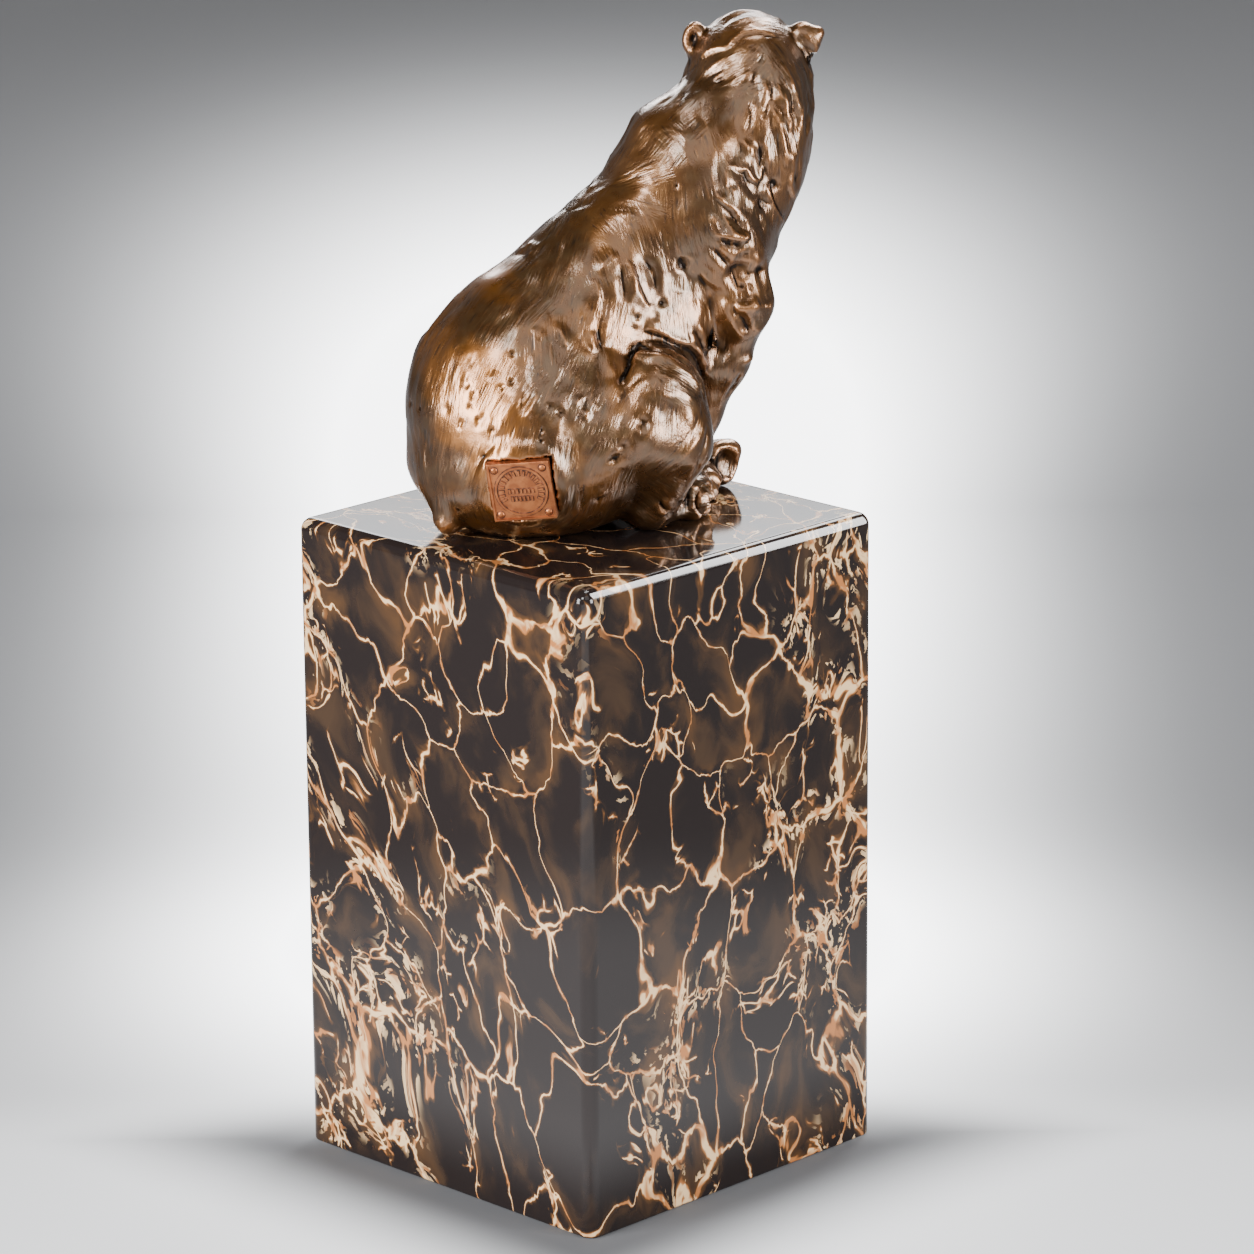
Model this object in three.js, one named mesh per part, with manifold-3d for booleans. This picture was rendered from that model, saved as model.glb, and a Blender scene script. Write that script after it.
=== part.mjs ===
// A seated bronze bear that looks over its left shoulder, on a tall polished marble plinth,
// with a small copper plate let into its rump.
// Millimetres, +Z up. The origin is the centre of the plinth's underside, and the plinth's faces
// look along X and Y. The bear's front looks towards -Y, turned a little towards its own right.

import * as THREE from 'three';
import { mergeVertices } from 'three/addons/utils/BufferGeometryUtils.js';
import { triTable } from 'three/addons/objects/MarchingCubes.js';
import Module from 'manifold-3d';

const wasm = await Module();
wasm.setup();

// Driving dimensions of the plinth
const plinthWidth = 100;
const plinthDepth = 100;
const plinthHeight = 162;
const edgeRound = 3.2;
const footEase = 0.8;

// Driving dimensions of the bear
const bearHeight = 120;
const bearTurn = 20;
const bearShiftX = 0;
const bearShiftY = 0;
const bedGap = 0.3;

// Driving dimensions of the copper plate
const plateWidth = 15.2;
const plateThickness = 1.8;
const plateCorner = 0.5;
const plateRim = 0.7;
const plateRelief = 0.35;
const plateProud = 0.5;
const plateGap = 0.3;
const ringWidth = 0.5;
const rivetRadius = 0.85;
const strokeWidth = 0.4;

// The bear's masses are drawn at this height, and the figure is then scaled to bearHeight
const drawnHeight = 120;
const scale = bearHeight / drawnHeight;

// The lattice that the clay is cut from, and the number of facets that the casting keeps
const latticeStep = 1.6;
const bearFacets = 7900;

const degrees = THREE.MathUtils.degToRad;

/** A point in the bear's own directions: forward, to its left, and up from its seat. */
function at(forward, left, up) {
  return new THREE.Vector3(left, -forward, up);
}

/** A frame on the bear: its origin, then a turn and a pitch up and a roll to the left, in degrees. */
function frameAt(origin, turnLeft = 0, pitchUp = 0, rollLeft = 0) {
  const turn = new THREE.Euler(degrees(-pitchUp), degrees(rollLeft), degrees(turnLeft), 'ZXY');
  return new THREE.Matrix4().makeRotationFromEuler(turn).setPosition(origin);
}

/** An egg-shaped mass of clay with half-lengths along forward, left and up of its frame. */
function egg(frame, centre, halves, turn = [0, 0, 0], blend = 6) {
  const own = frame.clone().multiply(frameAt(at(...centre), ...turn));
  const middle = new THREE.Vector3().setFromMatrixPosition(own);
  return { kind: 'egg', inverse: own.invert(), halves: at(...halves), middle, reach: Math.max(...halves), blend };
}

/** A limb of clay: a round cone from one point to another. */
function limb(frame, from, to, fromRadius, toRadius, blend = 5) {
  const start = at(...from).applyMatrix4(frame);
  const end = at(...to).applyMatrix4(frame);
  const middle = start.clone().lerp(end, 0.5);
  const reach = start.distanceTo(end) / 2 + Math.max(fromRadius, toRadius);
  return { kind: 'limb', start, end, fromRadius, toRadius, middle, reach, blend };
}

/** The same mass, taken away instead of added. */
function hollow(mass) {
  return { ...mass, taken: true };
}

const local = new THREE.Vector3();

/** The distance of a point from one mass, negative inside it. */
function massDistance(mass, x, y, z) {
  if (mass.kind === 'egg') {
    const { halves } = mass;
    local.set(x, y, z).applyMatrix4(mass.inverse);
    const near = Math.hypot(local.x / halves.x, local.y / halves.y, local.z / halves.z);
    const steep = Math.hypot(local.x / halves.x ** 2, local.y / halves.y ** 2, local.z / halves.z ** 2);
    return steep < 1e-9 ? -Math.min(Math.abs(halves.x), halves.z) : (near * (near - 1)) / steep;
  }
  const { start, end, fromRadius, toRadius } = mass;
  const dx = end.x - start.x;
  const dy = end.y - start.y;
  const dz = end.z - start.z;
  const share = ((x - start.x) * dx + (y - start.y) * dy + (z - start.z) * dz) / (dx * dx + dy * dy + dz * dz);
  const t = Math.min(1, Math.max(0, share));
  const radius = fromRadius + (toRadius - fromRadius) * t;
  return Math.hypot(x - start.x - dx * t, y - start.y - dy * t, z - start.z - dz * t) - radius;
}

/** The lower of two distances, rounded over where they meet. */
function softLower(a, b, blend) {
  const share = Math.max(blend - Math.abs(a - b), 0) / blend;
  return Math.min(a, b) - (share * share * blend) / 4;
}

/** The distance of a point from the whole figure, cut off flat where it sits. */
function figureDistance(masses, x, y, z) {
  let distance = 1e3;
  for (const mass of masses) {
    const { middle, reach, blend, taken } = mass;
    const sofar = taken ? -distance : distance;
    if (Math.hypot(x - middle.x, y - middle.y, z - middle.z) - reach > sofar + blend) continue;
    const joined = softLower(sofar, massDistance(mass, x, y, z), blend);
    distance = taken ? -joined : joined;
  }
  return Math.max(distance, -z);
}

const body = frameAt(at(0, 0, 0));

/** The trunk: rump, loins, belly, chest, withers and neck. */
function trunk() {
  return [
    egg(body, [-16, 0, 30], [29.5, 27, 30], [0, 8, 0]),
    egg(body, [-13, 0, 15], [31.5, 29, 18], [0, 0, 0], 6),
    limb(body, [-12, 0, 46], [20, 0, 72], 19, 17, 8),
    egg(body, [6, 0, 42], [22, 21, 27], [0, 20, 0], 8),
    egg(body, [29, 0, 66], [17, 20, 24], [0, 0, 0], 8),
    egg(body, [27, 0, 86], [16, 17, 15], [0, 0, 0], 6),
    limb(body, [34, -1, 84], [47, 3, 101], 16, 15, 6),
    egg(body, [46, -5, 88], [12, 13, 21], [0, -12, 0], 5),
  ];
}

/** The short tail, pressed against the rump. */
function tail() {
  return [limb(body, [-38, -1, 12], [-38, -2, 3.4], 3.4, 3, 4)];
}

/** A hind leg. side is -1 for the right and 1 for the left, and the foot lies from heel to toes. */
function hindLeg(side, knee, heel, toes) {
  return [
    limb(body, [-16, side * 13, 24], [knee[0] - 6, side * (knee[1] - 3), knee[2] - 4], 19, 14, 8),
    egg(body, [knee[0], side * knee[1], knee[2]], [12.4, 10, 16], [0, 8, 0], 2.5),
    limb(body, [knee[0] + 3, side * (knee[1] + 1), knee[2] - 8], [heel[0], side * heel[1], heel[2] + 3], 9.5, 7, 4),
    limb(body, [heel[0], side * heel[1], heel[2]], [toes[0], side * toes[1], toes[2]], 6.2, 6.2, 3),
  ];
}

/** The upright sole at the end of a hind foot, hollowed, with its toes over it. */
function sole(frame) {
  const toes = [-1.5, -0.5, 0.5, 1.5].map((place) => (
    egg(frame, [1.2, place * 3.1, 4.8 - Math.abs(place)], [2.8, 2, 2.2], [0, 0, 0], 1)
  ));
  return [
    egg(frame, [0, 0, 0], [3.4, 6.2, 5.8], [0, 0, 0], 2.5),
    ...toes,
    hollow(egg(frame, [4.4, 0, -0.8], [2.2, 3.8, 3.8], [0, 0, 0], 1)),
  ];
}

/** A foreleg, from its shoulder down to a paw that stands between the hind feet. */
function foreleg(side, elbow, forearm, wrist, paw) {
  const mirrored = ([forward, left, up]) => [forward, side * left, up];
  const pawFrame = frameAt(at(paw[0], side * paw[1], paw[2]), side * -12, 0);
  return [
    egg(body, [31, side * 14, 70], [11, 8, 14], [0, 6, 0], 6),
    limb(body, [32, side * 15, 68], mirrored(elbow), 9, 7.4, 3),
    limb(body, mirrored(elbow), mirrored(forearm), 7.4, 6.6, 3),
    limb(body, mirrored(forearm), mirrored(wrist), 6.6, 5.6, 3),
    limb(body, mirrored(wrist), mirrored(paw), 5.6, 5.2, 2),
    egg(pawFrame, [3, 0, 0], [8, 5.8, 4.8], [0, 0, 0], 2),
    ...[-1.5, -0.5, 0.5, 1.5].map((place) => (
      egg(pawFrame, [9.5 - Math.abs(place), place * 2.9, -1.2], [3, 1.7, 3], [place * -6, 0, 0], 1)
    )),
  ];
}

/** The head, which looks over the bear's left shoulder. The near ear shows its hollow. */
function head() {
  const skull = frameAt(at(47, 4, 107.5), 62, 0, 0);
  const ear = (side, tilt, reach, hollowPlace) => [
    egg(skull, [-1, side * reach, 5.8], [2.6, 3.8, 4.7], [0, 0, side * tilt], 1.6),
    hollow(egg(skull, [hollowPlace, side * (reach + 0.8), 6.3], [2.3, 2.3, 3.1], [0, 0, side * tilt], 0.8)),
  ];
  return [
    egg(skull, [0, 0, 0], [13.6, 13.2, 12.2], [0, 0, 0], 4),
    egg(skull, [2, 0, -4.6], [12, 15, 9.6], [0, 0, 0], 4),
    limb(skull, [8, 0, -3.6], [19.6, 0, -6.2], 8.4, 6.2, 4),
    egg(skull, [15, 0, -10.2], [9.4, 5, 3.6], [0, -8, 0], 2),
    egg(skull, [25.4, 0, -3.6], [2.6, 3.4, 2.5], [0, -10, 0], 1.2),
    egg(skull, [8.4, -5.8, 3.4], [3.6, 3.2, 2.4], [0, 0, 0], 2),
    egg(skull, [8.4, 5.8, 3.4], [3.6, 3.2, 2.4], [0, 0, 0], 2),
    hollow(egg(skull, [13.4, -6, 0.2], [2.2, 1.8, 1.4], [0, 0, 0], 1)),
    hollow(egg(skull, [13.4, 6, 0.2], [2.2, 1.8, 1.4], [0, 0, 0], 1)),
    ...ear(-1, 60, 14.4, 3),
    ...ear(1, 14, 13.6, -3.2),
  ];
}

/** Where the copper plate lies on the rump: its forward direction points away from the bear. */
const plateSeat = frameAt(at(-29, -27.2, 15.8), -124, -11.5, -6);

/** The flat place on the rump that was dressed for the plate. */
function dressedPlace() {
  return [egg(plateSeat, [-2.4, 0, 0], [3, 10, 10], [0, 0, 0], 4)];
}

/** Every mass of the bear, in the order in which the clay goes on. */
function bearMasses() {
  return [
    ...trunk(),
    ...tail(),
    ...hindLeg(-1, [9, 24, 30], [8, 20, 6], [19, 16, 6.4]),
    ...sole(frameAt(at(23, -15, 7.4), -20, 12)),
    ...hindLeg(1, [14, 23, 28], [33, 17, 6], [38.5, 12, 6]),
    ...sole(frameAt(at(41, 8.4, 6.2), -50, 10)),
    ...foreleg(-1, [34.5, 17.5, 53], [31, 13.5, 39], [27, 9, 25], [21, 5, 4.8]),
    ...foreleg(1, [36, 16, 53], [34, 13, 39], [31, 9, 25], [27, 6, 4.8]),
    ...head(),
    ...dressedPlace(),
  ];
}

/** The corners of a lattice cell, in the order that the table of cases uses. */
const cellCorners = [
  [0, 0, 0], [1, 0, 0], [1, 1, 0], [0, 1, 0], [0, 0, 1], [1, 0, 1], [1, 1, 1], [0, 1, 1],
];
const cellEdges = [
  [0, 1], [1, 2], [2, 3], [3, 0], [4, 5], [5, 6], [6, 7], [7, 4], [0, 4], [1, 5], [2, 6], [3, 7],
];
const casesPerCell = 16;

/** Cuts the surface where distance() is 0 out of a box, as points and triangles. */
function cutSurface(box, step, distance) {
  const size = box.getSize(new THREE.Vector3());
  const counts = [size.x, size.y, size.z].map((length) => Math.ceil(length / step) + 1);
  const index = (i, j, k) => (k * counts[1] + j) * counts[0] + i;
  const place = (i, j, k) => [box.min.x + i * step, box.min.y + j * step, box.min.z + k * step];
  const values = new Float64Array(counts[0] * counts[1] * counts[2]);
  for (let k = 0; k < counts[2]; k += 1) {
    for (let j = 0; j < counts[1]; j += 1) {
      for (let i = 0; i < counts[0]; i += 1) values[index(i, j, k)] = distance(...place(i, j, k));
    }
  }
  const points = [];
  const triangles = [];
  const known = new Map();
  const pointOn = (a, b) => {
    const [first, second] = index(...a) < index(...b) ? [a, b] : [b, a];
    const key = index(...first) * values.length + index(...second);
    if (!known.has(key)) {
      const low = values[index(...first)];
      const share = Math.min(0.97, Math.max(0.03, low / (low - values[index(...second)])));
      const start = new THREE.Vector3(...place(...first));
      known.set(key, points.length);
      points.push(start.lerp(new THREE.Vector3(...place(...second)), share));
    }
    return known.get(key);
  };
  for (let k = 0; k + 1 < counts[2]; k += 1) {
    for (let j = 0; j + 1 < counts[1]; j += 1) {
      for (let i = 0; i + 1 < counts[0]; i += 1) {
        const corners = cellCorners.map(([x, y, z]) => [i + x, j + y, k + z]);
        const inside = corners.reduce((bits, c, n) => bits | (values[index(...c)] < 0 ? 1 << n : 0), 0);
        if (inside === 0 || inside === 255) continue;
        for (let n = inside * casesPerCell; triTable[n] !== -1; n += 3) {
          const [a, b, c] = [0, 1, 2].map((m) => {
            const [from, to] = cellEdges[triTable[n + m]];
            return pointOn(corners[from], corners[to]);
          });
          triangles.push([a, c, b]);
        }
      }
    }
  }
  return { points, triangles };
}

/** A queue that hands out its entry of least cost first. */
class CheapestFirst {
  entries = [];

  push(entry) {
    const { entries } = this;
    let place = entries.push(entry) - 1;
    while (place > 0) {
      const above = (place - 1) >> 1;
      if (entries[above].cost <= entry.cost) break;
      entries[place] = entries[above];
      place = above;
    }
    entries[place] = entry;
  }

  pop() {
    const { entries } = this;
    const best = entries[0];
    const last = entries.pop();
    if (entries.length === 0) return best;
    let place = 0;
    for (;;) {
      let below = 2 * place + 1;
      if (below >= entries.length) break;
      if (below + 1 < entries.length && entries[below + 1].cost < entries[below].cost) below += 1;
      if (entries[below].cost >= last.cost) break;
      entries[place] = entries[below];
      place = below;
    }
    entries[place] = last;
    return best;
  }
}

/** The squared distance of a point from planes that were summed up, ten numbers a point. */
function planesError(sums, u, v, p) {
  const q = [];
  for (let n = 0; n < 10; n += 1) q.push(sums[10 * u + n] + sums[10 * v + n]);
  return q[0] * p.x * p.x + q[4] * p.y * p.y + q[7] * p.z * p.z + q[9]
    + 2 * (q[1] * p.x * p.y + q[2] * p.x * p.z + q[5] * p.y * p.z + q[3] * p.x + q[6] * p.y + q[8] * p.z);
}

/** Merges the points of a closed mesh, flat places first, until it has the wanted triangles. */
function thinOut({ points, triangles }, wanted) {
  const sums = new Float64Array(10 * points.length);
  const facesOf = points.map(() => new Set());
  const faceNormal = ([a, b, c], moved, to) => {
    const [p, q, r] = [a, b, c].map((n) => (n === moved ? to : points[n]));
    return q.clone().sub(p).cross(r.clone().sub(p));
  };
  triangles.forEach((triangle, f) => {
    const normal = faceNormal(triangle);
    const area = normal.length() / 2;
    normal.normalize();
    const plane = [normal.x, normal.y, normal.z, -normal.dot(points[triangle[0]])];
    for (const n of triangle) {
      facesOf[n].add(f);
      let slot = 10 * n;
      for (let a = 0; a < 4; a += 1) {
        for (let b = a; b < 4; b += 1) {
          sums[slot] += area * plane[a] * plane[b];
          slot += 1;
        }
      }
    }
  });
  const neighbours = (u) => {
    const found = new Set();
    for (const f of facesOf[u]) for (const n of triangles[f]) if (n !== u) found.add(n);
    return found;
  };
  const age = new Int32Array(points.length);
  const queue = new CheapestFirst();
  const offer = (u, v) => {
    const middle = points[u].clone().lerp(points[v], 0.5);
    const places = [middle, points[u].clone(), points[v].clone()];
    const errors = places.map((p) => planesError(sums, u, v, p));
    const best = errors.indexOf(Math.min(...errors));
    const length = points[u].distanceTo(points[v]);
    queue.push({ cost: errors[best] + 2e-3 * length ** 4, u, v, ages: age[u] + age[v], to: places[best] });
  };
  points.forEach((_, u) => neighbours(u).forEach((v) => u < v && offer(u, v)));
  const folds = (u, v, to) => [...facesOf[u]].some((f) => {
    if (triangles[f].includes(v)) return false;
    const before = faceNormal(triangles[f]);
    const after = faceNormal(triangles[f], u, to);
    return after.dot(before) < 0.35 * after.length() * before.length() || after.length() < 0.02;
  });
  let count = triangles.length;
  while (count > wanted && queue.entries.length > 0) {
    const { u, v, ages, to } = queue.pop();
    if (facesOf[u].size === 0 || facesOf[v].size === 0 || ages !== age[u] + age[v]) continue;
    const nearV = neighbours(v);
    if ([...neighbours(u)].filter((n) => nearV.has(n)).length !== 2) continue;
    if (folds(u, v, to) || folds(v, u, to)) continue;
    for (const f of facesOf[v]) {
      if (triangles[f].includes(u)) {
        triangles[f].forEach((n) => n !== v && facesOf[n].delete(f));
        triangles[f] = null;
        count -= 1;
      } else {
        triangles[f] = triangles[f].map((n) => (n === v ? u : n));
        facesOf[u].add(f);
      }
    }
    facesOf[v].clear();
    points[u].copy(to);
    for (let n = 0; n < 10; n += 1) sums[10 * u + n] += sums[10 * v + n];
    age[u] += age[v] + 1;
    neighbours(u).forEach((n) => offer(u, n));
  }
  return { points, triangles: triangles.filter((triangle) => triangle !== null) };
}

/** A geometry from points and triangles, without the points that no triangle uses. */
function geometryOf({ points, triangles }) {
  const geometry = new THREE.BufferGeometry();
  const corners = triangles.flat().flatMap((n) => points[n].toArray());
  geometry.setAttribute('position', new THREE.Float32BufferAttribute(corners, 3));
  return mergeVertices(geometry, 1e-5);
}

/** A closed geometry as a solid that can be joined and cut. */
function solidOf(geometry) {
  const bare = new THREE.BufferGeometry();
  bare.setAttribute('position', geometry.getAttribute('position').clone());
  if (geometry.index) bare.setIndex(geometry.index.clone());
  const merged = mergeVertices(bare, 1e-4);
  return new wasm.Manifold(new wasm.Mesh({
    numProp: 3,
    vertProperties: new Float32Array(merged.getAttribute('position').array),
    triVerts: new Uint32Array(merged.index.array),
  }));
}

/** A solid as a geometry again. */
function geometryFrom(solid) {
  const mesh = solid.getMesh();
  const geometry = new THREE.BufferGeometry();
  geometry.setAttribute('position', new THREE.BufferAttribute(mesh.vertProperties.slice(), 3));
  geometry.setIndex(new THREE.BufferAttribute(mesh.triVerts.slice(), 1));
  geometry.computeVertexNormals();
  return geometry;
}

/** The outline of a rectangle with round corners, as points. */
function roundedOutline(width, depth, radius, cornerSteps) {
  const [w, d] = [width / 2 - radius, depth / 2 - radius];
  const shape = new THREE.Shape();
  shape.absarc(w, d, radius, 0, Math.PI / 2);
  shape.absarc(-w, d, radius, Math.PI / 2, Math.PI);
  shape.absarc(-w, -d, radius, Math.PI, 1.5 * Math.PI);
  shape.absarc(w, -d, radius, 1.5 * Math.PI, 2 * Math.PI);
  return shape.getPoints(cornerSteps);
}

/** The plinth: a block with round upright and top edges, and an eased foot. */
function plinthGeometry() {
  const edgeSteps = 6;
  const rings = [];
  const addRing = (inset, height) => {
    const corner = Math.max(edgeRound - inset, 0.05);
    const outline = [];
    const [w, d] = [plinthWidth / 2 - edgeRound, plinthDepth / 2 - edgeRound];
    [[w, d], [-w, d], [-w, -d], [w, -d]].forEach(([x, y], quarter) => {
      for (let n = 0; n <= edgeSteps; n += 1) {
        const angle = (quarter + n / edgeSteps) * (Math.PI / 2);
        outline.push(new THREE.Vector3(x + corner * Math.cos(angle), y + corner * Math.sin(angle), height));
      }
    });
    rings.push(outline);
  };
  addRing(footEase, 0);
  addRing(0, footEase);
  for (let n = 0; n <= edgeSteps; n += 1) {
    const angle = (n / edgeSteps) * (Math.PI / 2);
    addRing(edgeRound * (1 - Math.cos(angle)), plinthHeight - edgeRound * (1 - Math.sin(angle)));
  }
  const points = rings.flat();
  const triangles = [];
  const around = rings[0].length;
  for (let r = 0; r + 1 < rings.length; r += 1) {
    for (let n = 0; n < around; n += 1) {
      const [a, b] = [r * around + n, r * around + ((n + 1) % around)];
      triangles.push([a, b, b + around], [a, b + around, a + around]);
    }
  }
  const top = (rings.length - 1) * around;
  for (let n = 1; n + 1 < around; n += 1) {
    triangles.push([0, n + 1, n], [top, top + n, top + n + 1]);
  }
  return geometryOf({ points, triangles });
}

/** A block under or over the plate, in the plate's own directions: across, up its face, outwards. */
function slab(width, from, to, corner) {
  const shape = new THREE.Shape(roundedOutline(width, width, corner, 3));
  return new THREE.ExtrudeGeometry(shape, { depth: to - from, bevelEnabled: false }).translate(0, 0, from);
}

/** A flat bar on the plate's face, centred at a place and turned in degrees. */
function stroke(length, x, y, turn) {
  const sunk = 0.1;
  return new THREE.BoxGeometry(strokeWidth, length, plateRelief + sunk)
    .translate(0, 0, (plateRelief - sunk) / 2)
    .rotateZ(degrees(turn))
    .translate(x, y, 0);
}

/** The copper plate with its rim, ring, rivets and rows of plain strokes, its face at z = 0. */
function plateGeometry() {
  const sunk = 0.1;
  const facing = [];
  const half = plateWidth / 2;
  const frame = new THREE.Shape(roundedOutline(plateWidth, plateWidth, plateCorner, 3));
  const inner = plateWidth - 2 * plateRim;
  frame.holes.push(new THREE.Path(roundedOutline(inner, inner, plateCorner / 2, 2).reverse()));
  const ringRadius = 0.42 * plateWidth;
  const ring = new THREE.Shape().absarc(0, 0, ringRadius, 0, 2 * Math.PI);
  ring.holes.push(new THREE.Path().absarc(0, 0, ringRadius - ringWidth, 0, 2 * Math.PI, true));
  for (const outline of [frame, ring]) {
    const raised = { depth: plateRelief + sunk, bevelEnabled: false, curveSegments: 16 };
    facing.push(new THREE.ExtrudeGeometry(outline, raised).translate(0, 0, -sunk));
  }
  const rivetPlace = half - plateRim - 1.25 * rivetRadius;
  for (const [x, y] of [[1, 1], [-1, 1], [-1, -1], [1, -1]]) {
    const rivet = new THREE.SphereGeometry(rivetRadius, 8, 5).scale(1, 1, 0.7);
    facing.push(rivet.rotateX(Math.PI / 2).translate(x * rivetPlace, y * rivetPlace, 0));
  }
  const strokesOnArc = 17;
  for (let n = 0; n < strokesOnArc; n += 1) {
    const angle = -25 + (230 * n) / (strokesOnArc - 1);
    const radius = ringRadius - ringWidth - 1.1;
    const [x, y] = [radius * Math.cos(degrees(angle)), radius * Math.sin(degrees(angle))];
    facing.push(stroke(1.2, x, y, angle - 90));
  }
  const rows = [[7, 0.1], [6, -1.9]];
  for (const [count, y] of rows) {
    for (let n = 0; n < count; n += 1) facing.push(stroke(1.1, (n - (count - 1) / 2) * 0.95, y, 0));
  }
  const solids = [slab(plateWidth, -plateThickness, 0, plateCorner), ...facing].map(solidOf);
  return geometryFrom(solids.reduce((whole, next) => whole.add(next)));
}

/** The bear, cut from its clay, thinned out, and let in for the plate. */
function bearGeometry() {
  const masses = bearMasses();
  const box = new THREE.Box3(new THREE.Vector3(-45, -85, -2.2), new THREE.Vector3(45, 60, 136));
  const surface = cutSurface(box, latticeStep, (x, y, z) => figureDistance(masses, x, y, z));
  const cast = solidOf(geometryOf(thinOut(surface, bearFacets)).scale(scale, scale, scale));
  const floor = plateProud - plateThickness - plateGap;
  const under = plateWidth - 1;
  const pad = solidOf(slab(under, floor - 4, floor, plateCorner).applyMatrix4(platePlace));
  const pocketWidth = plateWidth + 2 * plateGap;
  const pocket = solidOf(slab(pocketWidth, floor, floor + 6, plateCorner).applyMatrix4(platePlace));
  return geometryFrom(cast.add(pad).subtract(pocket));
}

/** The plate's own directions on the bear: its face looks outwards and its top is up. */
const platePlace = new THREE.Matrix4()
  .makeScale(scale, scale, scale)
  .multiply(plateSeat)
  .scale(new THREE.Vector3(1 / scale, 1 / scale, 1 / scale))
  .multiply(new THREE.Matrix4().makeRotationX(Math.PI / 2));

const bronze = new THREE.MeshStandardMaterial({ color: 0x6b4a26, roughness: 0.35, metalness: 0.85 });
const marble = new THREE.MeshStandardMaterial({ color: 0x2b2422, roughness: 0.12, metalness: 0 });
const copper = new THREE.MeshStandardMaterial({ color: 0xb9754f, roughness: 0.4, metalness: 0.8 });

const sculpture = new THREE.Group();

const plinth = new THREE.Mesh(plinthGeometry(), marble);
plinth.name = 'marble_plinth';
sculpture.add(plinth);

const bearSeat = new THREE.Group();
bearSeat.position.set(bearShiftX, bearShiftY, plinthHeight + bedGap);
bearSeat.rotation.z = degrees(-bearTurn);
sculpture.add(bearSeat);

const bear = new THREE.Mesh(bearGeometry(), bronze);
bear.name = 'bronze_bear';
bearSeat.add(bear);

const plate = new THREE.Mesh(plateGeometry().translate(0, 0, plateProud), copper);
plate.name = 'copper_plate';
plate.applyMatrix4(platePlace);
bearSeat.add(plate);

export default sculpture;
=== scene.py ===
"""The looks of a bronze bear on its marble plinth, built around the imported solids."""

import logging
import math
from dataclasses import dataclass
from enum import Enum

import bmesh
import bpy
import numpy as np
from mathutils import Matrix, Vector
from mathutils.bvhtree import BVHTree


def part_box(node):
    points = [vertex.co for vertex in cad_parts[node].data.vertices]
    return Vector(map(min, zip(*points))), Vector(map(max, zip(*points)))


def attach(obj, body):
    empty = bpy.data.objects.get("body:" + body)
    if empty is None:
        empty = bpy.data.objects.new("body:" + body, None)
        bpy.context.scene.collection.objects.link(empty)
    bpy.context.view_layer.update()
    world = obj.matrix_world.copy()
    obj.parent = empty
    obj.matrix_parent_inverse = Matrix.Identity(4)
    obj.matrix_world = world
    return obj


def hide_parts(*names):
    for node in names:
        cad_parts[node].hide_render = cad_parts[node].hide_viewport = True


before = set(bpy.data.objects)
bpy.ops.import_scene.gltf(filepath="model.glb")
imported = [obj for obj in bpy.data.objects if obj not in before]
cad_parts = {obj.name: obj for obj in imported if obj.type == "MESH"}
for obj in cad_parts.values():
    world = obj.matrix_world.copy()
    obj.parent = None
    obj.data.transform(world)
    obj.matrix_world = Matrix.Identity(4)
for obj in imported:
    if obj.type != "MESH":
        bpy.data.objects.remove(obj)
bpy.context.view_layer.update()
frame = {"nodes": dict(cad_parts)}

log = logging.getLogger("bear")

MM = 0.001

Point = tuple[float, float, float]
Pixel = tuple[float, float]

MATH = "ShaderNodeMath"
MIX = "ShaderNodeMix"
NOISE = "ShaderNodeTexNoise"
RAMP = "ShaderNodeMapRange"
SOFT = {"interpolation_type": "SMOOTHSTEP"}
COLOUR = {"data_type": "RGBA"}


def linear(hex_colour: str) -> tuple[float, float, float, float]:
    """Turns an sRGB hex colour into a linear one.

    Args:
        hex_colour: Six hex digits after a hash sign.

    Returns:
        Red, green, blue and an alpha of 1.
    """
    parts = [int(hex_colour[n : n + 2], 16) / 255 for n in (1, 3, 5)]
    red, green, blue = (
        part / 12.92 if part <= 0.04045 else ((part + 0.055) / 1.055) ** 2.4
        for part in parts
    )
    return red, green, blue, 1.0


def per_metre(size_mm: float) -> float:
    """Gives the texture scale whose features are size_mm wide on Object coordinates."""
    return 1.0 / (size_mm * MM)


def add(
    tree: bpy.types.NodeTree, kind: str, feeds: dict | None = None, **settings: object
) -> bpy.types.Node:
    """Adds a node with its settings, and its inputs as links or values.

    Args:
        tree: The node tree.
        kind: The node's type.
        feeds: Input name or index, and what it takes: a value, a socket, or a node, which
            gives its first output.
        **settings: The node's own properties.

    Returns:
        The new node.
    """
    node = tree.nodes.new(kind)
    for name, value in settings.items():
        setattr(node, name, value)
    for place, value in (feeds or {}).items():
        if isinstance(value, bpy.types.Node):
            value = value.outputs[0]
        if isinstance(value, bpy.types.NodeSocket):
            tree.links.new(value, node.inputs[place])
        else:
            node.inputs[place].default_value = value
    return node


def new_material(name: str) -> tuple[bpy.types.Material, bpy.types.NodeTree, bpy.types.Node]:
    """Makes a material with one principled shader.

    Args:
        name: The material's name.

    Returns:
        The material, its node tree and its shader.
    """
    material = bpy.data.materials.new(name)
    material.use_nodes = True
    tree = material.node_tree
    tree.nodes.clear()
    shader = add(tree, "ShaderNodeBsdfPrincipled")
    add(tree, "ShaderNodeOutputMaterial", {"Surface": shader.outputs[0]})
    return material, tree, shader


def smooth(mesh: bpy.types.Mesh) -> None:
    """Shades every face of a mesh smooth."""
    mesh.polygons.foreach_set("use_smooth", np.ones(len(mesh.polygons), bool))


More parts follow.
